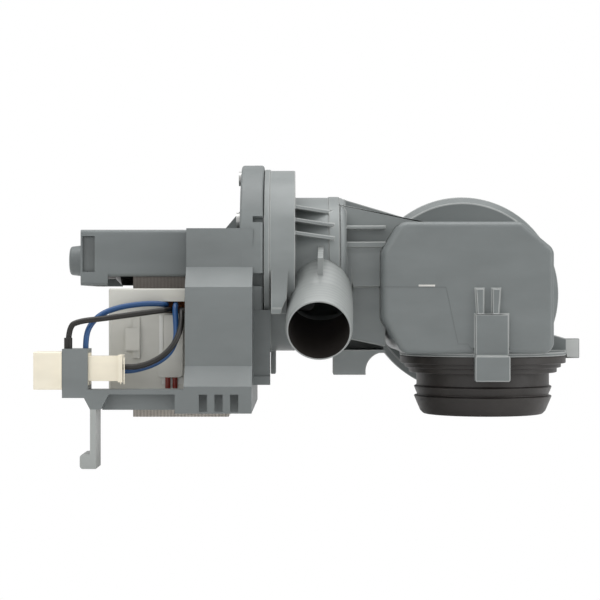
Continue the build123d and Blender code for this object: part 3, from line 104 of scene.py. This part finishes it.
def ramp(tree, value, low, high, lowValue, highValue):
    node = tree.nodes.new("ShaderNodeMapRange")
    node.inputs["From Min"].default_value = low
    node.inputs["From Max"].default_value = high
    node.inputs["To Min"].default_value = lowValue
    node.inputs["To Max"].default_value = highValue
    tree.links.new(value, node.inputs["Value"])
    return node.outputs["Result"]


def mathNode(tree, first, second, operation="ADD"):
    node = tree.nodes.new("ShaderNodeMath")
    node.operation = operation
    tree.links.new(first, node.inputs[0])
    tree.links.new(second, node.inputs[1])
    return node


def mixColours(tree, factor, first, second, blend="MIX"):
    node = tree.nodes.new("ShaderNodeMix")
    node.data_type = "RGBA"
    node.blend_type = blend
    sockets = (node.inputs[0], node.inputs[6], node.inputs[7])  # factor, A and B of the colour kind
    for socket, source in zip(sockets, (factor, first, second)):
        if hasattr(source, "is_output"):
            tree.links.new(source, socket)
        else:
            socket.default_value = source
    return node.outputs[2]


# scale, detail and stretch of each noise, then how far it shades, rubs or roughens
wear = {
    "flow": (26, 3, (1, 1, 3)), "patches": (75, 5), "grain": (2600, 2), "scratches": (420, 4, (1, 8, 1)),
    "rubFrom": 0.5, "rubTo": 0.72,
    "shadeFrom": 0.3, "shadeTo": 0.7, "darkest": 0.9, "lightest": 1.08,
    "roughFrom": 0.35, "roughTo": 0.75, "smoother": -0.05, "rougher": 0.1,
}


def buildMouldedSurface():
    # flow marks, fine grain and rubbed patches of a moulded plastic or rubber
    group, start, end = newGroup(
        "mouldedSurface",
        [("Colour", "NodeSocketColor", (0.2, 0.2, 0.2, 1)), ("Rubbed", "NodeSocketColor", (0.3, 0.3, 0.3, 1)),
         ("Roughness", "NodeSocketFloat", 0.45), ("Rub Amount", "NodeSocketFloat", 0.3)],
        [("Colour", "NodeSocketColor"), ("Roughness", "NodeSocketFloat"), ("Height", "NodeSocketFloat")],
    )
    place = group.nodes.new("ShaderNodeTexCoord").outputs["Object"]
    flow = noise(group, place, *wear["flow"])
    patches = noise(group, place, *wear["patches"])
    grain = noise(group, place, *wear["grain"])
    scratches = noise(group, place, *wear["scratches"])

    rub = ramp(group, patches, wear["rubFrom"], wear["rubTo"], 0, 1)
    amount = mathNode(group, rub, start.outputs["Rub Amount"], "MULTIPLY")
    base = mixColours(group, amount.outputs[0], start.outputs["Colour"], start.outputs["Rubbed"])
    shade = ramp(group, flow, wear["shadeFrom"], wear["shadeTo"], wear["darkest"], wear["lightest"])
    shadeColour = group.nodes.new("ShaderNodeCombineColor")
    for channel in range(3):
        group.links.new(shade, shadeColour.inputs[channel])
    colour = mixColours(group, 1.0, base, shadeColour.outputs[0], "MULTIPLY")
    group.links.new(colour, end.inputs["Colour"])

    spread = ramp(group, scratches, wear["roughFrom"], wear["roughTo"], wear["smoother"], wear["rougher"])
    rough = mathNode(group, start.outputs["Roughness"], spread)
    rough.use_clamp = True
    group.links.new(rough.outputs[0], end.inputs["Roughness"])
    height = mathNode(group, grain, scratches)
    group.links.new(height.outputs[0], end.inputs["Height"])
    return group


def buildRepeatedLines():
    # even lines along X, for stacked sheets, wound wire and moulded rings
    group, start, end = newGroup(
        "repeatedLines",
        [("Vector", "NodeSocketVector", (0, 0, 0)), ("Pitch Scale", "NodeSocketFloat", 300.0)],
        [("Line", "NodeSocketFloat")],
    )
    wave = group.nodes.new("ShaderNodeTexWave")
    wave.wave_type = "BANDS"
    wave.bands_direction = "X"
    wave.inputs["Distortion"].default_value = 0.15
    wave.inputs["Detail"].default_value = 0
    group.links.new(start.outputs["Vector"], wave.inputs["Vector"])
    group.links.new(start.outputs["Pitch Scale"], wave.inputs["Scale"])
    group.links.new(wave.outputs["Fac"], end.inputs["Line"])
    return group


mouldedSurface = buildMouldedSurface()
repeatedLines = buildRepeatedLines()
bumpHeights = {"grain": 0.04 * mm, "lines": 0.2 * mm}


def addLines(tree, look, colour):
    # lines across the surface, in colour and in relief
    coords = tree.nodes.new("ShaderNodeTexCoord")
    mapping = tree.nodes.new("ShaderNodeMapping")
    mapping.inputs["Rotation"].default_value = look["turn"]
    lines = tree.nodes.new("ShaderNodeGroup")
    lines.node_tree = repeatedLines
    lines.inputs["Pitch Scale"].default_value = look["lines"]
    tree.links.new(coords.outputs["Object"], mapping.inputs["Vector"])
    tree.links.new(mapping.outputs["Vector"], lines.inputs["Vector"])
    lineBump = tree.nodes.new("ShaderNodeBump")
    lineBump.inputs["Strength"].default_value = look["lineDepth"]
    lineBump.inputs["Distance"].default_value = bumpHeights["lines"]
    tree.links.new(lines.outputs["Line"], lineBump.inputs["Height"])
    return mixColours(tree, lines.outputs["Line"], (*look["lineColour"], 1), colour), lineBump


def addHeightShade(tree, look, colour):
    # painted shade: darker towards the top, mixed toward the line colour, where the covers shade the core
    low, high, amount = look["heightShade"]
    axes = tree.nodes.new("ShaderNodeSeparateXYZ")
    objectPlace = tree.nodes.new("ShaderNodeTexCoord").outputs["Object"]
    tree.links.new(objectPlace, axes.inputs[0])
    fade = ramp(tree, axes.outputs["Z"], low, high, 0, amount)
    return mixColours(tree, fade, colour, (*look["lineColour"], 1))


def surfaceMaterial(name, look):
    material = bpy.data.materials.new(name)
    material.use_nodes = True
    tree = material.node_tree
    shader = tree.nodes["Principled BSDF"]
    surface = tree.nodes.new("ShaderNodeGroup")
    surface.node_tree = mouldedSurface
    surface.inputs["Colour"].default_value = (*look["colour"], 1)
    surface.inputs["Rubbed"].default_value = (*look["rubbed"], 1)
    surface.inputs["Roughness"].default_value = look["roughness"]
    surface.inputs["Rub Amount"].default_value = look["rub"]
    colour = surface.outputs["Colour"]
    bump = tree.nodes.new("ShaderNodeBump")
    bump.inputs["Strength"].default_value = look["grain"]
    bump.inputs["Distance"].default_value = bumpHeights["grain"]
    tree.links.new(surface.outputs["Height"], bump.inputs["Height"])
    if "lines" in look:
        colour, lineBump = addLines(tree, look, colour)
        tree.links.new(lineBump.outputs["Normal"], bump.inputs["Normal"])
    if "heightShade" in look:
        colour = addHeightShade(tree, look, colour)
    tree.links.new(colour, shader.inputs["Base Color"])
    tree.links.new(surface.outputs["Roughness"], shader.inputs["Roughness"])
    tree.links.new(bump.outputs["Normal"], shader.inputs["Normal"])
    shader.inputs["Metallic"].default_value = look.get("metal", 0)
    return material


def finish(colour, rubbed, roughness, rub, grain, **extra):
    # linear colours of the clean and the rubbed surface, then how rough, rubbed and grainy it is
    return {"colour": colour, "rubbed": rubbed, "roughness": roughness, "rub": rub, "grain": grain, **extra}


# the direction and tilt of the outlet nozzle, for its rings and the painted shade of its inside
nozzleAxis = {"root": Vector((-71.5, -1.4, 59.5)) * mm, "tilt": 23.5, "yaw": 1.8}

# lines is the wave scale, turn the rotation that brings X across the lines
finishes = {
    "housing": finish((0.156, 0.172, 0.172), (0.185, 0.201, 0.2), 0.4, 0.25, 0.25),
    # nozzle: lighter than the housing grey, a painted highlight
    "nozzle": finish((0.292, 0.308, 0.302), (0.33, 0.343, 0.336), 0.36, 0.3, 0.2,
                     lines=120, turn=(math.radians(-nozzleAxis["tilt"]), 0, math.radians(90)),
                     lineColour=(0.262, 0.277, 0.272), lineDepth=0.05),
    # pump chamber: lighter than the housing grey, painted light on its shaded sides
    "pump": finish((0.212, 0.23, 0.229), (0.242, 0.259, 0.257), 0.38, 0.3, 0.25),
    "bracket": finish((0.162, 0.178, 0.178), (0.19, 0.207, 0.205), 0.42, 0.2, 0.3),
    "cover": finish((0.155, 0.172, 0.173), (0.178, 0.195, 0.196), 0.45, 0.2, 0.35),
    "pale": finish((0.34, 0.356, 0.346), (0.37, 0.385, 0.375), 0.4, 0.2, 0.25),
    # lighter copy of the housing grey for the side tab: painted light
    "paintedLightTab": finish((0.46, 0.475, 0.465), (0.49, 0.505, 0.495), 0.4, 0.2, 0.25),
    # paler grey painted on the bevels of moulded pieces as a highlight
    "paintedEdgeHighlight": finish((0.3, 0.316, 0.31), (0.36, 0.374, 0.366), 0.4, 0.4, 0.2),
    # near black for the inside of the nozzle: painted shade
    "paintedShadeBore": finish((0.034, 0.029, 0.026), (0.045, 0.039, 0.035), 0.55, 0.3, 0.2),
    # paler than the coil cover: painted highlight on its raised rim
    "paintedHighlightRim": finish((0.66, 0.66, 0.63), (0.7, 0.7, 0.67), 0.4, 0.2, 0.2),
    "seamShade": finish((0.12, 0.132, 0.132), (0.14, 0.152, 0.151), 0.5, 0.2, 0.2),
    # near white for the vent slot: painted glint
    "paintedSlotGlint": finish((0.6, 0.59, 0.56), (0.5, 0.49, 0.47), 0.4, 0.2, 0.2),
    "seal": finish((0.019, 0.016, 0.014), (0.036, 0.031, 0.027), 0.42, 0.5, 0.4),
    "coil_cover": finish((0.56, 0.555, 0.51), (0.6, 0.595, 0.55), 0.42, 0.25, 0.2),
    "connector": finish((0.8, 0.74, 0.6), (0.84, 0.8, 0.68), 0.35, 0.3, 0.15),
    # core: pale lamination grey, with painted shade over its top from heightShade
    "core": finish((0.9, 0.84, 0.76), (0.95, 0.9, 0.82), 0.5, 0.4, 0.3, metal=0.1,
                   heightShade=(0.03, 0.05, 0.86),
                   lines=520, turn=(0, 0, 0), lineColour=(0.075, 0.063, 0.055), lineDepth=0.5),
    "copper": finish((0.40, 0.15, 0.055), (0.55, 0.26, 0.12), 0.3, 0.4, 0.1, metal=0.6,
                     lines=700, turn=(0, math.radians(90), 0), lineColour=(0.12, 0.035, 0.015), lineDepth=0.8),
    "bobbin": finish((0.62, 0.60, 0.53), (0.7, 0.68, 0.6), 0.4, 0.2, 0.2),
    "can": finish((0.012, 0.012, 0.012), (0.03, 0.03, 0.03), 0.32, 0.3, 0.15),
    "steel": finish((0.48, 0.48, 0.47), (0.6, 0.6, 0.59), 0.42, 0.3, 0.2, metal=1),
    "magnet": finish((0.03, 0.03, 0.032), (0.06, 0.06, 0.06), 0.45, 0.3, 0.3, metal=0.3),
    "bush": finish((0.1, 0.085, 0.07), (0.16, 0.14, 0.11), 0.5, 0.4, 0.5),
    "rotor_plastic": finish((0.66, 0.62, 0.5), (0.72, 0.7, 0.6), 0.4, 0.2, 0.2),
    "impeller": finish((0.016, 0.016, 0.017), (0.03, 0.03, 0.03), 0.45, 0.3, 0.2),
    "filter": finish((0.06, 0.065, 0.07), (0.095, 0.1, 0.105), 0.42, 0.3, 0.3),
    "blue_lead": finish((0.014, 0.066, 0.19), (0.03, 0.1, 0.25), 0.36, 0.3, 0.1),
    "black_lead": finish((0.009, 0.0075, 0.006), (0.016, 0.014, 0.012), 0.42, 0.3, 0.1),
    "red_lead": finish((0.16, 0.018, 0.012), (0.28, 0.05, 0.03), 0.3, 0.3, 0.1),
    "brass": finish((0.55, 0.42, 0.2), (0.7, 0.6, 0.35), 0.3, 0.3, 0.1, metal=1),
}
materials = {name: surfaceMaterial(name, look) for name, look in finishes.items()}
print("materials made", len(materials))

smoothing = {"sharpAngle": math.radians(32), "bevelAngle": math.radians(38), "flatAngle": math.radians(0.3),
             "weldDistance": 0.002 * mm, "bevelSteps": 2}


def addPiece(name, mesh, body, slot, finishName=None):
    piece = bpy.data.objects.new(name, mesh)
    bpy.context.scene.collection.objects.link(piece)
    mesh.materials.clear()
    mesh.materials.append(materials[finishName or slot])
    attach(piece, body)
    return piece


def meshFrom(shape, name):
    for edge in shape.edges:
        edge.smooth = len(edge.link_faces) != 2 or edge.calc_face_angle() < smoothing["sharpAngle"]
    for face in shape.faces:
        face.smooth = True
    mesh = bpy.data.meshes.new(name)
    shape.to_mesh(mesh)
    shape.free()
    return mesh


# softened edges of the moulded pieces in millimetres, with a smaller one for all others
edgeWidths = {
    "filter_housing": 0.5, "filter_barrel": 0.5, "pump_chamber": 0.4, "outlet_nozzle": 0.25,
    "motor_bracket": 0.4, "bracket_hook": 0.35, "rear_cover": 0.4, "coil_cover": 0.3,
    "connector_socket": 0.3, "connector_plug": 0.3, "inlet_seal": 0.35, "filter_cap": 0.5,
}
smallEdge = 0.15
nodeFinish = {"outlet_nozzle": "nozzle", "bracket_hook": "pale", "pump_chamber": "pump"}
# pieces whose bevels get a painted highlight
paintedHighlightEdgeNodes = ("filter_housing", "pump_chamber", "filter_barrel")
tabStartX = 36.9 * mm


def mergeFlatFaces(shape, node):
    # whole faces, so that a wide edge fits, with a cut where the tab's painted light starts
    bmesh.ops.dissolve_limit(shape, angle_limit=smoothing["flatAngle"], verts=shape.verts, edges=shape.edges)
    if node == "filter_housing":
        parts = [*shape.verts, *shape.edges, *shape.faces]
        bmesh.ops.bisect_plane(shape, geom=parts, plane_co=(tabStartX, 0, 0), plane_no=(1, 0, 0))


def dressNode(node):
    # welded copy of a CAD piece with smooth curves and softened edges
    source = frame["nodes"][node]
    shape = bmesh.new()
    shape.from_mesh(source.data)
    bmesh.ops.remove_doubles(shape, verts=shape.verts, dist=smoothing["weldDistance"])
    for layer in list(shape.loops.layers.float_vector):
        shape.loops.layers.float_vector.remove(layer)
    if node in paintedHighlightEdgeNodes:
        mergeFlatFaces(shape, node)
    mesh = meshFrom(shape, node + "_finish")
    if "custom_normal" in mesh.attributes:
        mesh.attributes.remove(mesh.attributes["custom_normal"])
    slot = slotOf[node]
    piece = addPiece(node + "_finish", mesh, source["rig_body"], slot, nodeFinish.get(node))
    soften = piece.modifiers.new("softEdges", "BEVEL")
    soften.width = edgeWidths.get(node, smallEdge) * mm
    soften.segments = smoothing["bevelSteps"]
    soften.limit_method = "ANGLE"
    soften.angle_limit = smoothing["bevelAngle"]
    soften.harden_normals = True
    # painted highlight: the bevels get a paler material, standing in for the light that moulded edges catch
    if node in paintedHighlightEdgeNodes:
        piece.data.materials.append(materials["paintedEdgeHighlight"])
        soften.material = 1  # moulded edges catch more light than the faces
        soften.use_clamp_overlap = False
    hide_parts(node)


leadNodes = ("lead_blue_upper", "lead_black_upper", "lead_blue_lower", "lead_black_lower")
for node in frame["nodes"]:
    if node not in leadNodes:
        dressNode(node)
print("CAD pieces dressed")


def facesNozzleAxis(face):
    # true for the inside faces of the outlet nozzle, which are painted near black as shade
    tilt, yaw = math.radians(nozzleAxis["tilt"]), math.radians(nozzleAxis["yaw"])
    along = Vector((-math.sin(yaw), -math.cos(yaw) * math.cos(tilt), -math.sin(tilt)))
    offset = face.center - nozzleAxis["root"]
    radial = (offset - along * offset.dot(along)).normalized()
    return face.normal.dot(radial) < -0.6


def paintFaces(node, finishName, chosen):
    piece = bpy.data.objects[node + "_finish"]
    piece.data.materials.append(materials[finishName])
    for face in piece.data.polygons:
        if chosen(face):
            face.material_index = len(piece.data.materials) - 1


# painted shade: the bore of the nozzle is painted near black
paintFaces("outlet_nozzle", "paintedShadeBore", facesNozzleAxis)
# painted light: the side tab of the housing gets a lighter grey than the rest
paintFaces("filter_housing", "paintedLightTab", lambda face: face.center.x > tabStartX)

# routes of the leads in millimetres, as in the CAD source
leadRoutes = {
    "lead_blue_upper": [
        (-169.9, -52.0, 30.2), (-169.9, -52.0, 35.2), (-168.2, -48.8, 40.4), (-163.6, -46.4, 44.8),
        (-156.0, -44.6, 47.4), (-147.4, -43.4, 48.6), (-140.8, -43.0, 48.7), (-137.6, -41.4, 48.2),
        (-137.6, -38.2, 48.2)],
    "lead_black_upper": [
        (-176.9, -54.0, 30.2), (-176.9, -54.0, 39.4), (-172.0, -53.2, 41.5), (-164.4, -51.4, 42.3),
        (-155.6, -48.6, 43.5), (-146.6, -46.6, 44.8), (-139.0, -45.2, 45.8), (-136.0, -42.4, 46.1),
        (-136.0, -38.2, 46.1)],
    "lead_blue_lower": [
        (-133.5, -38.2, 48.2), (-133.5, -41.4, 48.2), (-133.5, -43.4, 45.2), (-132.9, -45.4, 39.4),
        (-132.7, -48.0, 33.2), (-135.6, -50.0, 27.4), (-141.2, -51.4, 23.6), (-147.4, -51.8, 21.6),
        (-151.6, -51.8, 20.8), (-154.1, -51.8, 20.8)],
    "lead_black_lower": [
        (-131.0, -38.2, 46.1), (-131.0, -42.6, 46.1), (-130.5, -45.9, 43.0), (-130.9, -49.6, 37.2),
        (-133.6, -52.8, 31.2), (-138.0, -54.8, 26.8), (-143.8, -55.8, 23.8), (-148.8, -55.6, 22.6),
        (-152.0, -55.4, 22.6), (-154.1, -55.4, 22.6)],
}
leadLook = {"radius": 1.2 * mm, "resolution": 12, "roundness": 5, "order": 3}


def centreLineLength(curve):
    depth = curve.data.bevel_depth
    curve.data.bevel_depth = 0
    mesh = bpy.data.meshes.new_from_object(curve)
    curve.data.bevel_depth = depth
    points = [vertex.co for vertex in mesh.vertices]
    return sum((second - first).length for first, second in zip(points, points[1:]))


def makeLead(node, route):
    data = bpy.data.curves.new(node + "_wire", "CURVE")
    data.dimensions = "3D"
    data.bevel_depth = 1  # each point carries the wire's radius
    data.bevel_resolution = leadLook["roundness"]
    data.use_fill_caps = True
    spline = data.splines.new("NURBS")
    spline.points.add(len(route) - 1)
    for point, place in zip(spline.points, route):
        point.co = (place[0] * mm, place[1] * mm, place[2] * mm, 1)
        point.radius = leadLook["radius"]
    spline.order_u = leadLook["order"]
    spline.use_endpoint_u = True
    spline.resolution_u = leadLook["resolution"]
    piece = bpy.data.objects.new(node + "_wire", data)
    bpy.context.scene.collection.objects.link(piece)
    data.materials.append(materials[slotOf[node]])
    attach(piece, "housing")
    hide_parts(node)
    bpy.context.view_layer.update()
    centreLineLength(piece)


for node in leadNodes:
    makeLead(node, leadRoutes[node])
print("leads laid")


def addBlock(shape, low, high, softening=0.0):
    # a softened block between two corners in millimetres
    middle = [(first + second) / 2 * mm for first, second in zip(low, high)]
    size = [abs(second - first) * mm for first, second in zip(low, high)]
    place = Matrix.Translation(middle) @ Matrix.Diagonal((*size, 1))
    made = bmesh.ops.create_cube(shape, size=1, matrix=place)
    if softening:
        edges = list({edge for vertex in made["verts"] for edge in vertex.link_edges})
        bmesh.ops.bevel(shape, geom=edges, offset=softening * mm, affect="EDGES",
                        segments=smoothing["bevelSteps"], profile=0.5, material=-1)


# thin mould line on the front of the filter box, with a vent slot on it painted near white as a glint
seam = {
    "path": [(-45.6, 55.8), (-19.4, 55.6), (-14.3, 31.6), (-10.2, 31.6), (-8.0, 28.6)],
    "width": 0.2, "proud": 0.08, "front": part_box("filter_housing")[0].y / mm + 5.0,
}
ventSlot = {"left": -31.0, "right": -24.0, "z": 56.3, "height": 0.8,
            "proud": 0.15, "sunk": 0.3, "softening": 0.1}


def addSeamRun(shape, first, second):
    run = Vector((second[0] - first[0], 0, second[1] - first[1]))
    size = (seam["width"] * mm, 2 * seam["proud"] * mm, (run.length + seam["width"]) * mm)
    made = bmesh.ops.create_cube(shape, size=1, matrix=Matrix.Diagonal((*size, 1)))
    turn = Matrix.Rotation(math.atan2(run.x, run.z), 4, "Y")
    middle = Vector(((first[0] + second[0]) / 2, seam["front"], (first[1] + second[1]) / 2)) * mm
    bmesh.ops.transform(shape, matrix=Matrix.Translation(middle) @ turn, verts=made["verts"])


def makeBoxSeam():
    shape = bmesh.new()
    for first, second in zip(seam["path"], seam["path"][1:]):
        addSeamRun(shape, first, second)
    addPiece("box_seam", meshFrom(shape, "box_seam"), "housing", "housing", "seamShade")


def makeVentSlot():
    shape = bmesh.new()
    half = ventSlot["height"] / 2
    low = (ventSlot["left"], seam["front"] - ventSlot["proud"], ventSlot["z"] - half)
    high = (ventSlot["right"], seam["front"] + ventSlot["sunk"], ventSlot["z"] + half)
    addBlock(shape, low, high, ventSlot["softening"])
    addPiece("box_vent_slot", meshFrom(shape, "box_vent_slot"), "housing", "housing", "paintedSlotGlint")


makeBoxSeam()
makeVentSlot()

# cream plug: thin ribs of its latch end
plugRibs = {"left": (-155.0, -153.6), "width": 0.5, "front": -58.4, "low": 15.6, "high": 26.6,
            "proud": 0.1, "sunk": 0.3, "softening": 0.05}


def makePlugRibs():
    shape = bmesh.new()
    near, far = plugRibs["front"] - plugRibs["proud"], plugRibs["front"] + plugRibs["sunk"]
    for left in plugRibs["left"]:
        right = left + plugRibs["width"]
        addBlock(shape, (left, near, plugRibs["low"]), (right, far, plugRibs["high"]), plugRibs["softening"])
    addPiece("plug_ribs", meshFrom(shape, "plug_ribs"), "housing", "connector")


makePlugRibs()

# raised edge round the terminal bay of the coil cover, painted paler than the cover as a highlight
paintedHighlightRim = {"left": -140.6, "inner": -138.8, "right": -130.6, "low": 14.6, "sill": 17.4, "high": 43.8,
           "front": -38.6, "proud": 0.35, "sunk": 0.2, "sillStart": 1.2, "sillRise": 0.4, "softening": 0.3}


def makeCoilRim():
    shape = bmesh.new()
    near, far = paintedHighlightRim["front"] - paintedHighlightRim["proud"], paintedHighlightRim["front"] + paintedHighlightRim["sunk"]
    softening = paintedHighlightRim["softening"]
    side = (paintedHighlightRim["left"], near, paintedHighlightRim["sill"])
    addBlock(shape, side, (paintedHighlightRim["inner"], far, paintedHighlightRim["high"]), softening)
    sill = (paintedHighlightRim["left"] + paintedHighlightRim["sillStart"], near, paintedHighlightRim["low"])
    addBlock(shape, sill, (paintedHighlightRim["right"], far, paintedHighlightRim["sill"] + paintedHighlightRim["sillRise"]), softening)
    addPiece("coil_cover_rim", meshFrom(shape, "coil_cover_rim"), "housing", "coil_cover", "paintedHighlightRim")


makeCoilRim()

# dark plate behind the slot of the rear cover: painted shade inside the slot
slotShadePlate = {"low": (-174.0, -30.6, 62.5), "high": (-168.2, -30.2, 77.2)}


def makeSlotShadePlate():
    shape = bmesh.new()
    addBlock(shape, slotShadePlate["low"], slotShadePlate["high"])
    addPiece("cover_slot_shade", meshFrom(shape, "cover_slot_shade"), "housing", "cover", "seamShade")


makeSlotShadePlate()

# white floor and room, soft light from above, a weaker one beside the camera, a low one from the right
studio = {
    "ambient": 0.62, "floorSize": 6, "floorDrop": 0.2 * mm,
    "floorColour": (0.8, 0.8, 0.8, 1), "floorRoughness": 0.9,
    "lights": {  # place, target, size and power
        "overhead": ((-0.08, -0.05, 0.85), (-0.08, 0, 0.05), (1.1, 0.7), 6.4),
        "frontLeft": ((-0.65, -0.95, 0.5), (-0.08, 0, 0.05), (0.7, 0.7), 1.9),
        "rightSide": ((0.75, -0.35, 0.35), (0, 0, 0.05), (0.4, 0.8), 2.2),
    },
}


def makeFloorMaterial():
    # white to the camera, a plain matt floor for the light
    white = bpy.data.materials.new("whiteFloor")
    white.use_nodes = True
    tree = white.node_tree
    shader = tree.nodes["Principled BSDF"]
    shader.inputs["Base Color"].default_value = studio["floorColour"]
    shader.inputs["Roughness"].default_value = studio["floorRoughness"]
    glow = tree.nodes.new("ShaderNodeEmission")
    glow.inputs["Strength"].default_value = 1
    seen = tree.nodes.new("ShaderNodeLightPath")
    blend = tree.nodes.new("ShaderNodeMixShader")
    tree.links.new(seen.outputs["Is Camera Ray"], blend.inputs[0])
    tree.links.new(shader.outputs[0], blend.inputs[1])
    tree.links.new(glow.outputs[0], blend.inputs[2])
    tree.links.new(blend.outputs[0], tree.nodes["Material Output"].inputs["Surface"])
    return white


def makeFloor():
    shape = bmesh.new()
    place = Matrix.Translation((0, 0, cadBox[0][2] - studio["floorDrop"]))
    bmesh.ops.create_grid(shape, x_segments=1, y_segments=1, size=studio["floorSize"], matrix=place)
    mesh = bpy.data.meshes.new("floor")
    shape.to_mesh(mesh)
    shape.free()
    mesh.materials.append(makeFloorMaterial())
    floor = bpy.data.objects.new("floor", mesh)
    bpy.context.scene.collection.objects.link(floor)


def makeWorld():
    world = bpy.data.worlds.new("studio")
    bpy.context.scene.world = world
    world.use_nodes = True
    sky = world.node_tree
    back = sky.nodes["Background"]
    back.inputs["Color"].default_value = (1, 1, 1, 1)
    seen = sky.nodes.new("ShaderNodeLightPath")
    strength = ramp(sky, seen.outputs["Is Camera Ray"], 0, 1, studio["ambient"], 1)
    sky.links.new(strength, back.inputs["Strength"])


def addLamp(name, place, target, size, power):
    data = bpy.data.lights.new(name, "AREA")
    data.shape = "RECTANGLE"
    data.size, data.size_y = size
    data.energy = power
    lamp = bpy.data.objects.new(name, data)
    bpy.context.scene.collection.objects.link(lamp)
    lamp.location = place
    lamp.rotation_euler = (Vector(target) - Vector(place)).to_track_quat("-Z", "Y").to_euler()


makeFloor()
makeWorld()
for name, light in studio["lights"].items():
    addLamp(name, *light)

# the camera looks level along Y, with frameWidth metres seen at the middle of the part
camera = {"place": (-0.0811, -0.770, 0.0502), "frameWidth": 0.2667, "sensor": 36.0, "nearest": 0.01}


def makeCamera():
    data = bpy.data.cameras.new("photoCamera")
    data.sensor_width = camera["sensor"]
    data.lens = camera["sensor"] * abs(camera["place"][1]) / camera["frameWidth"]
    data.clip_start = camera["nearest"]
    piece = bpy.data.objects.new("photoCamera", data)
    piece.location = camera["place"]
    piece.rotation_euler = (math.radians(90), 0, 0)
    bpy.context.scene.collection.objects.link(piece)
    bpy.context.scene.camera = piece


makeCamera()
bpy.context.scene.view_settings.view_transform = "Standard"
print("studio and camera set")
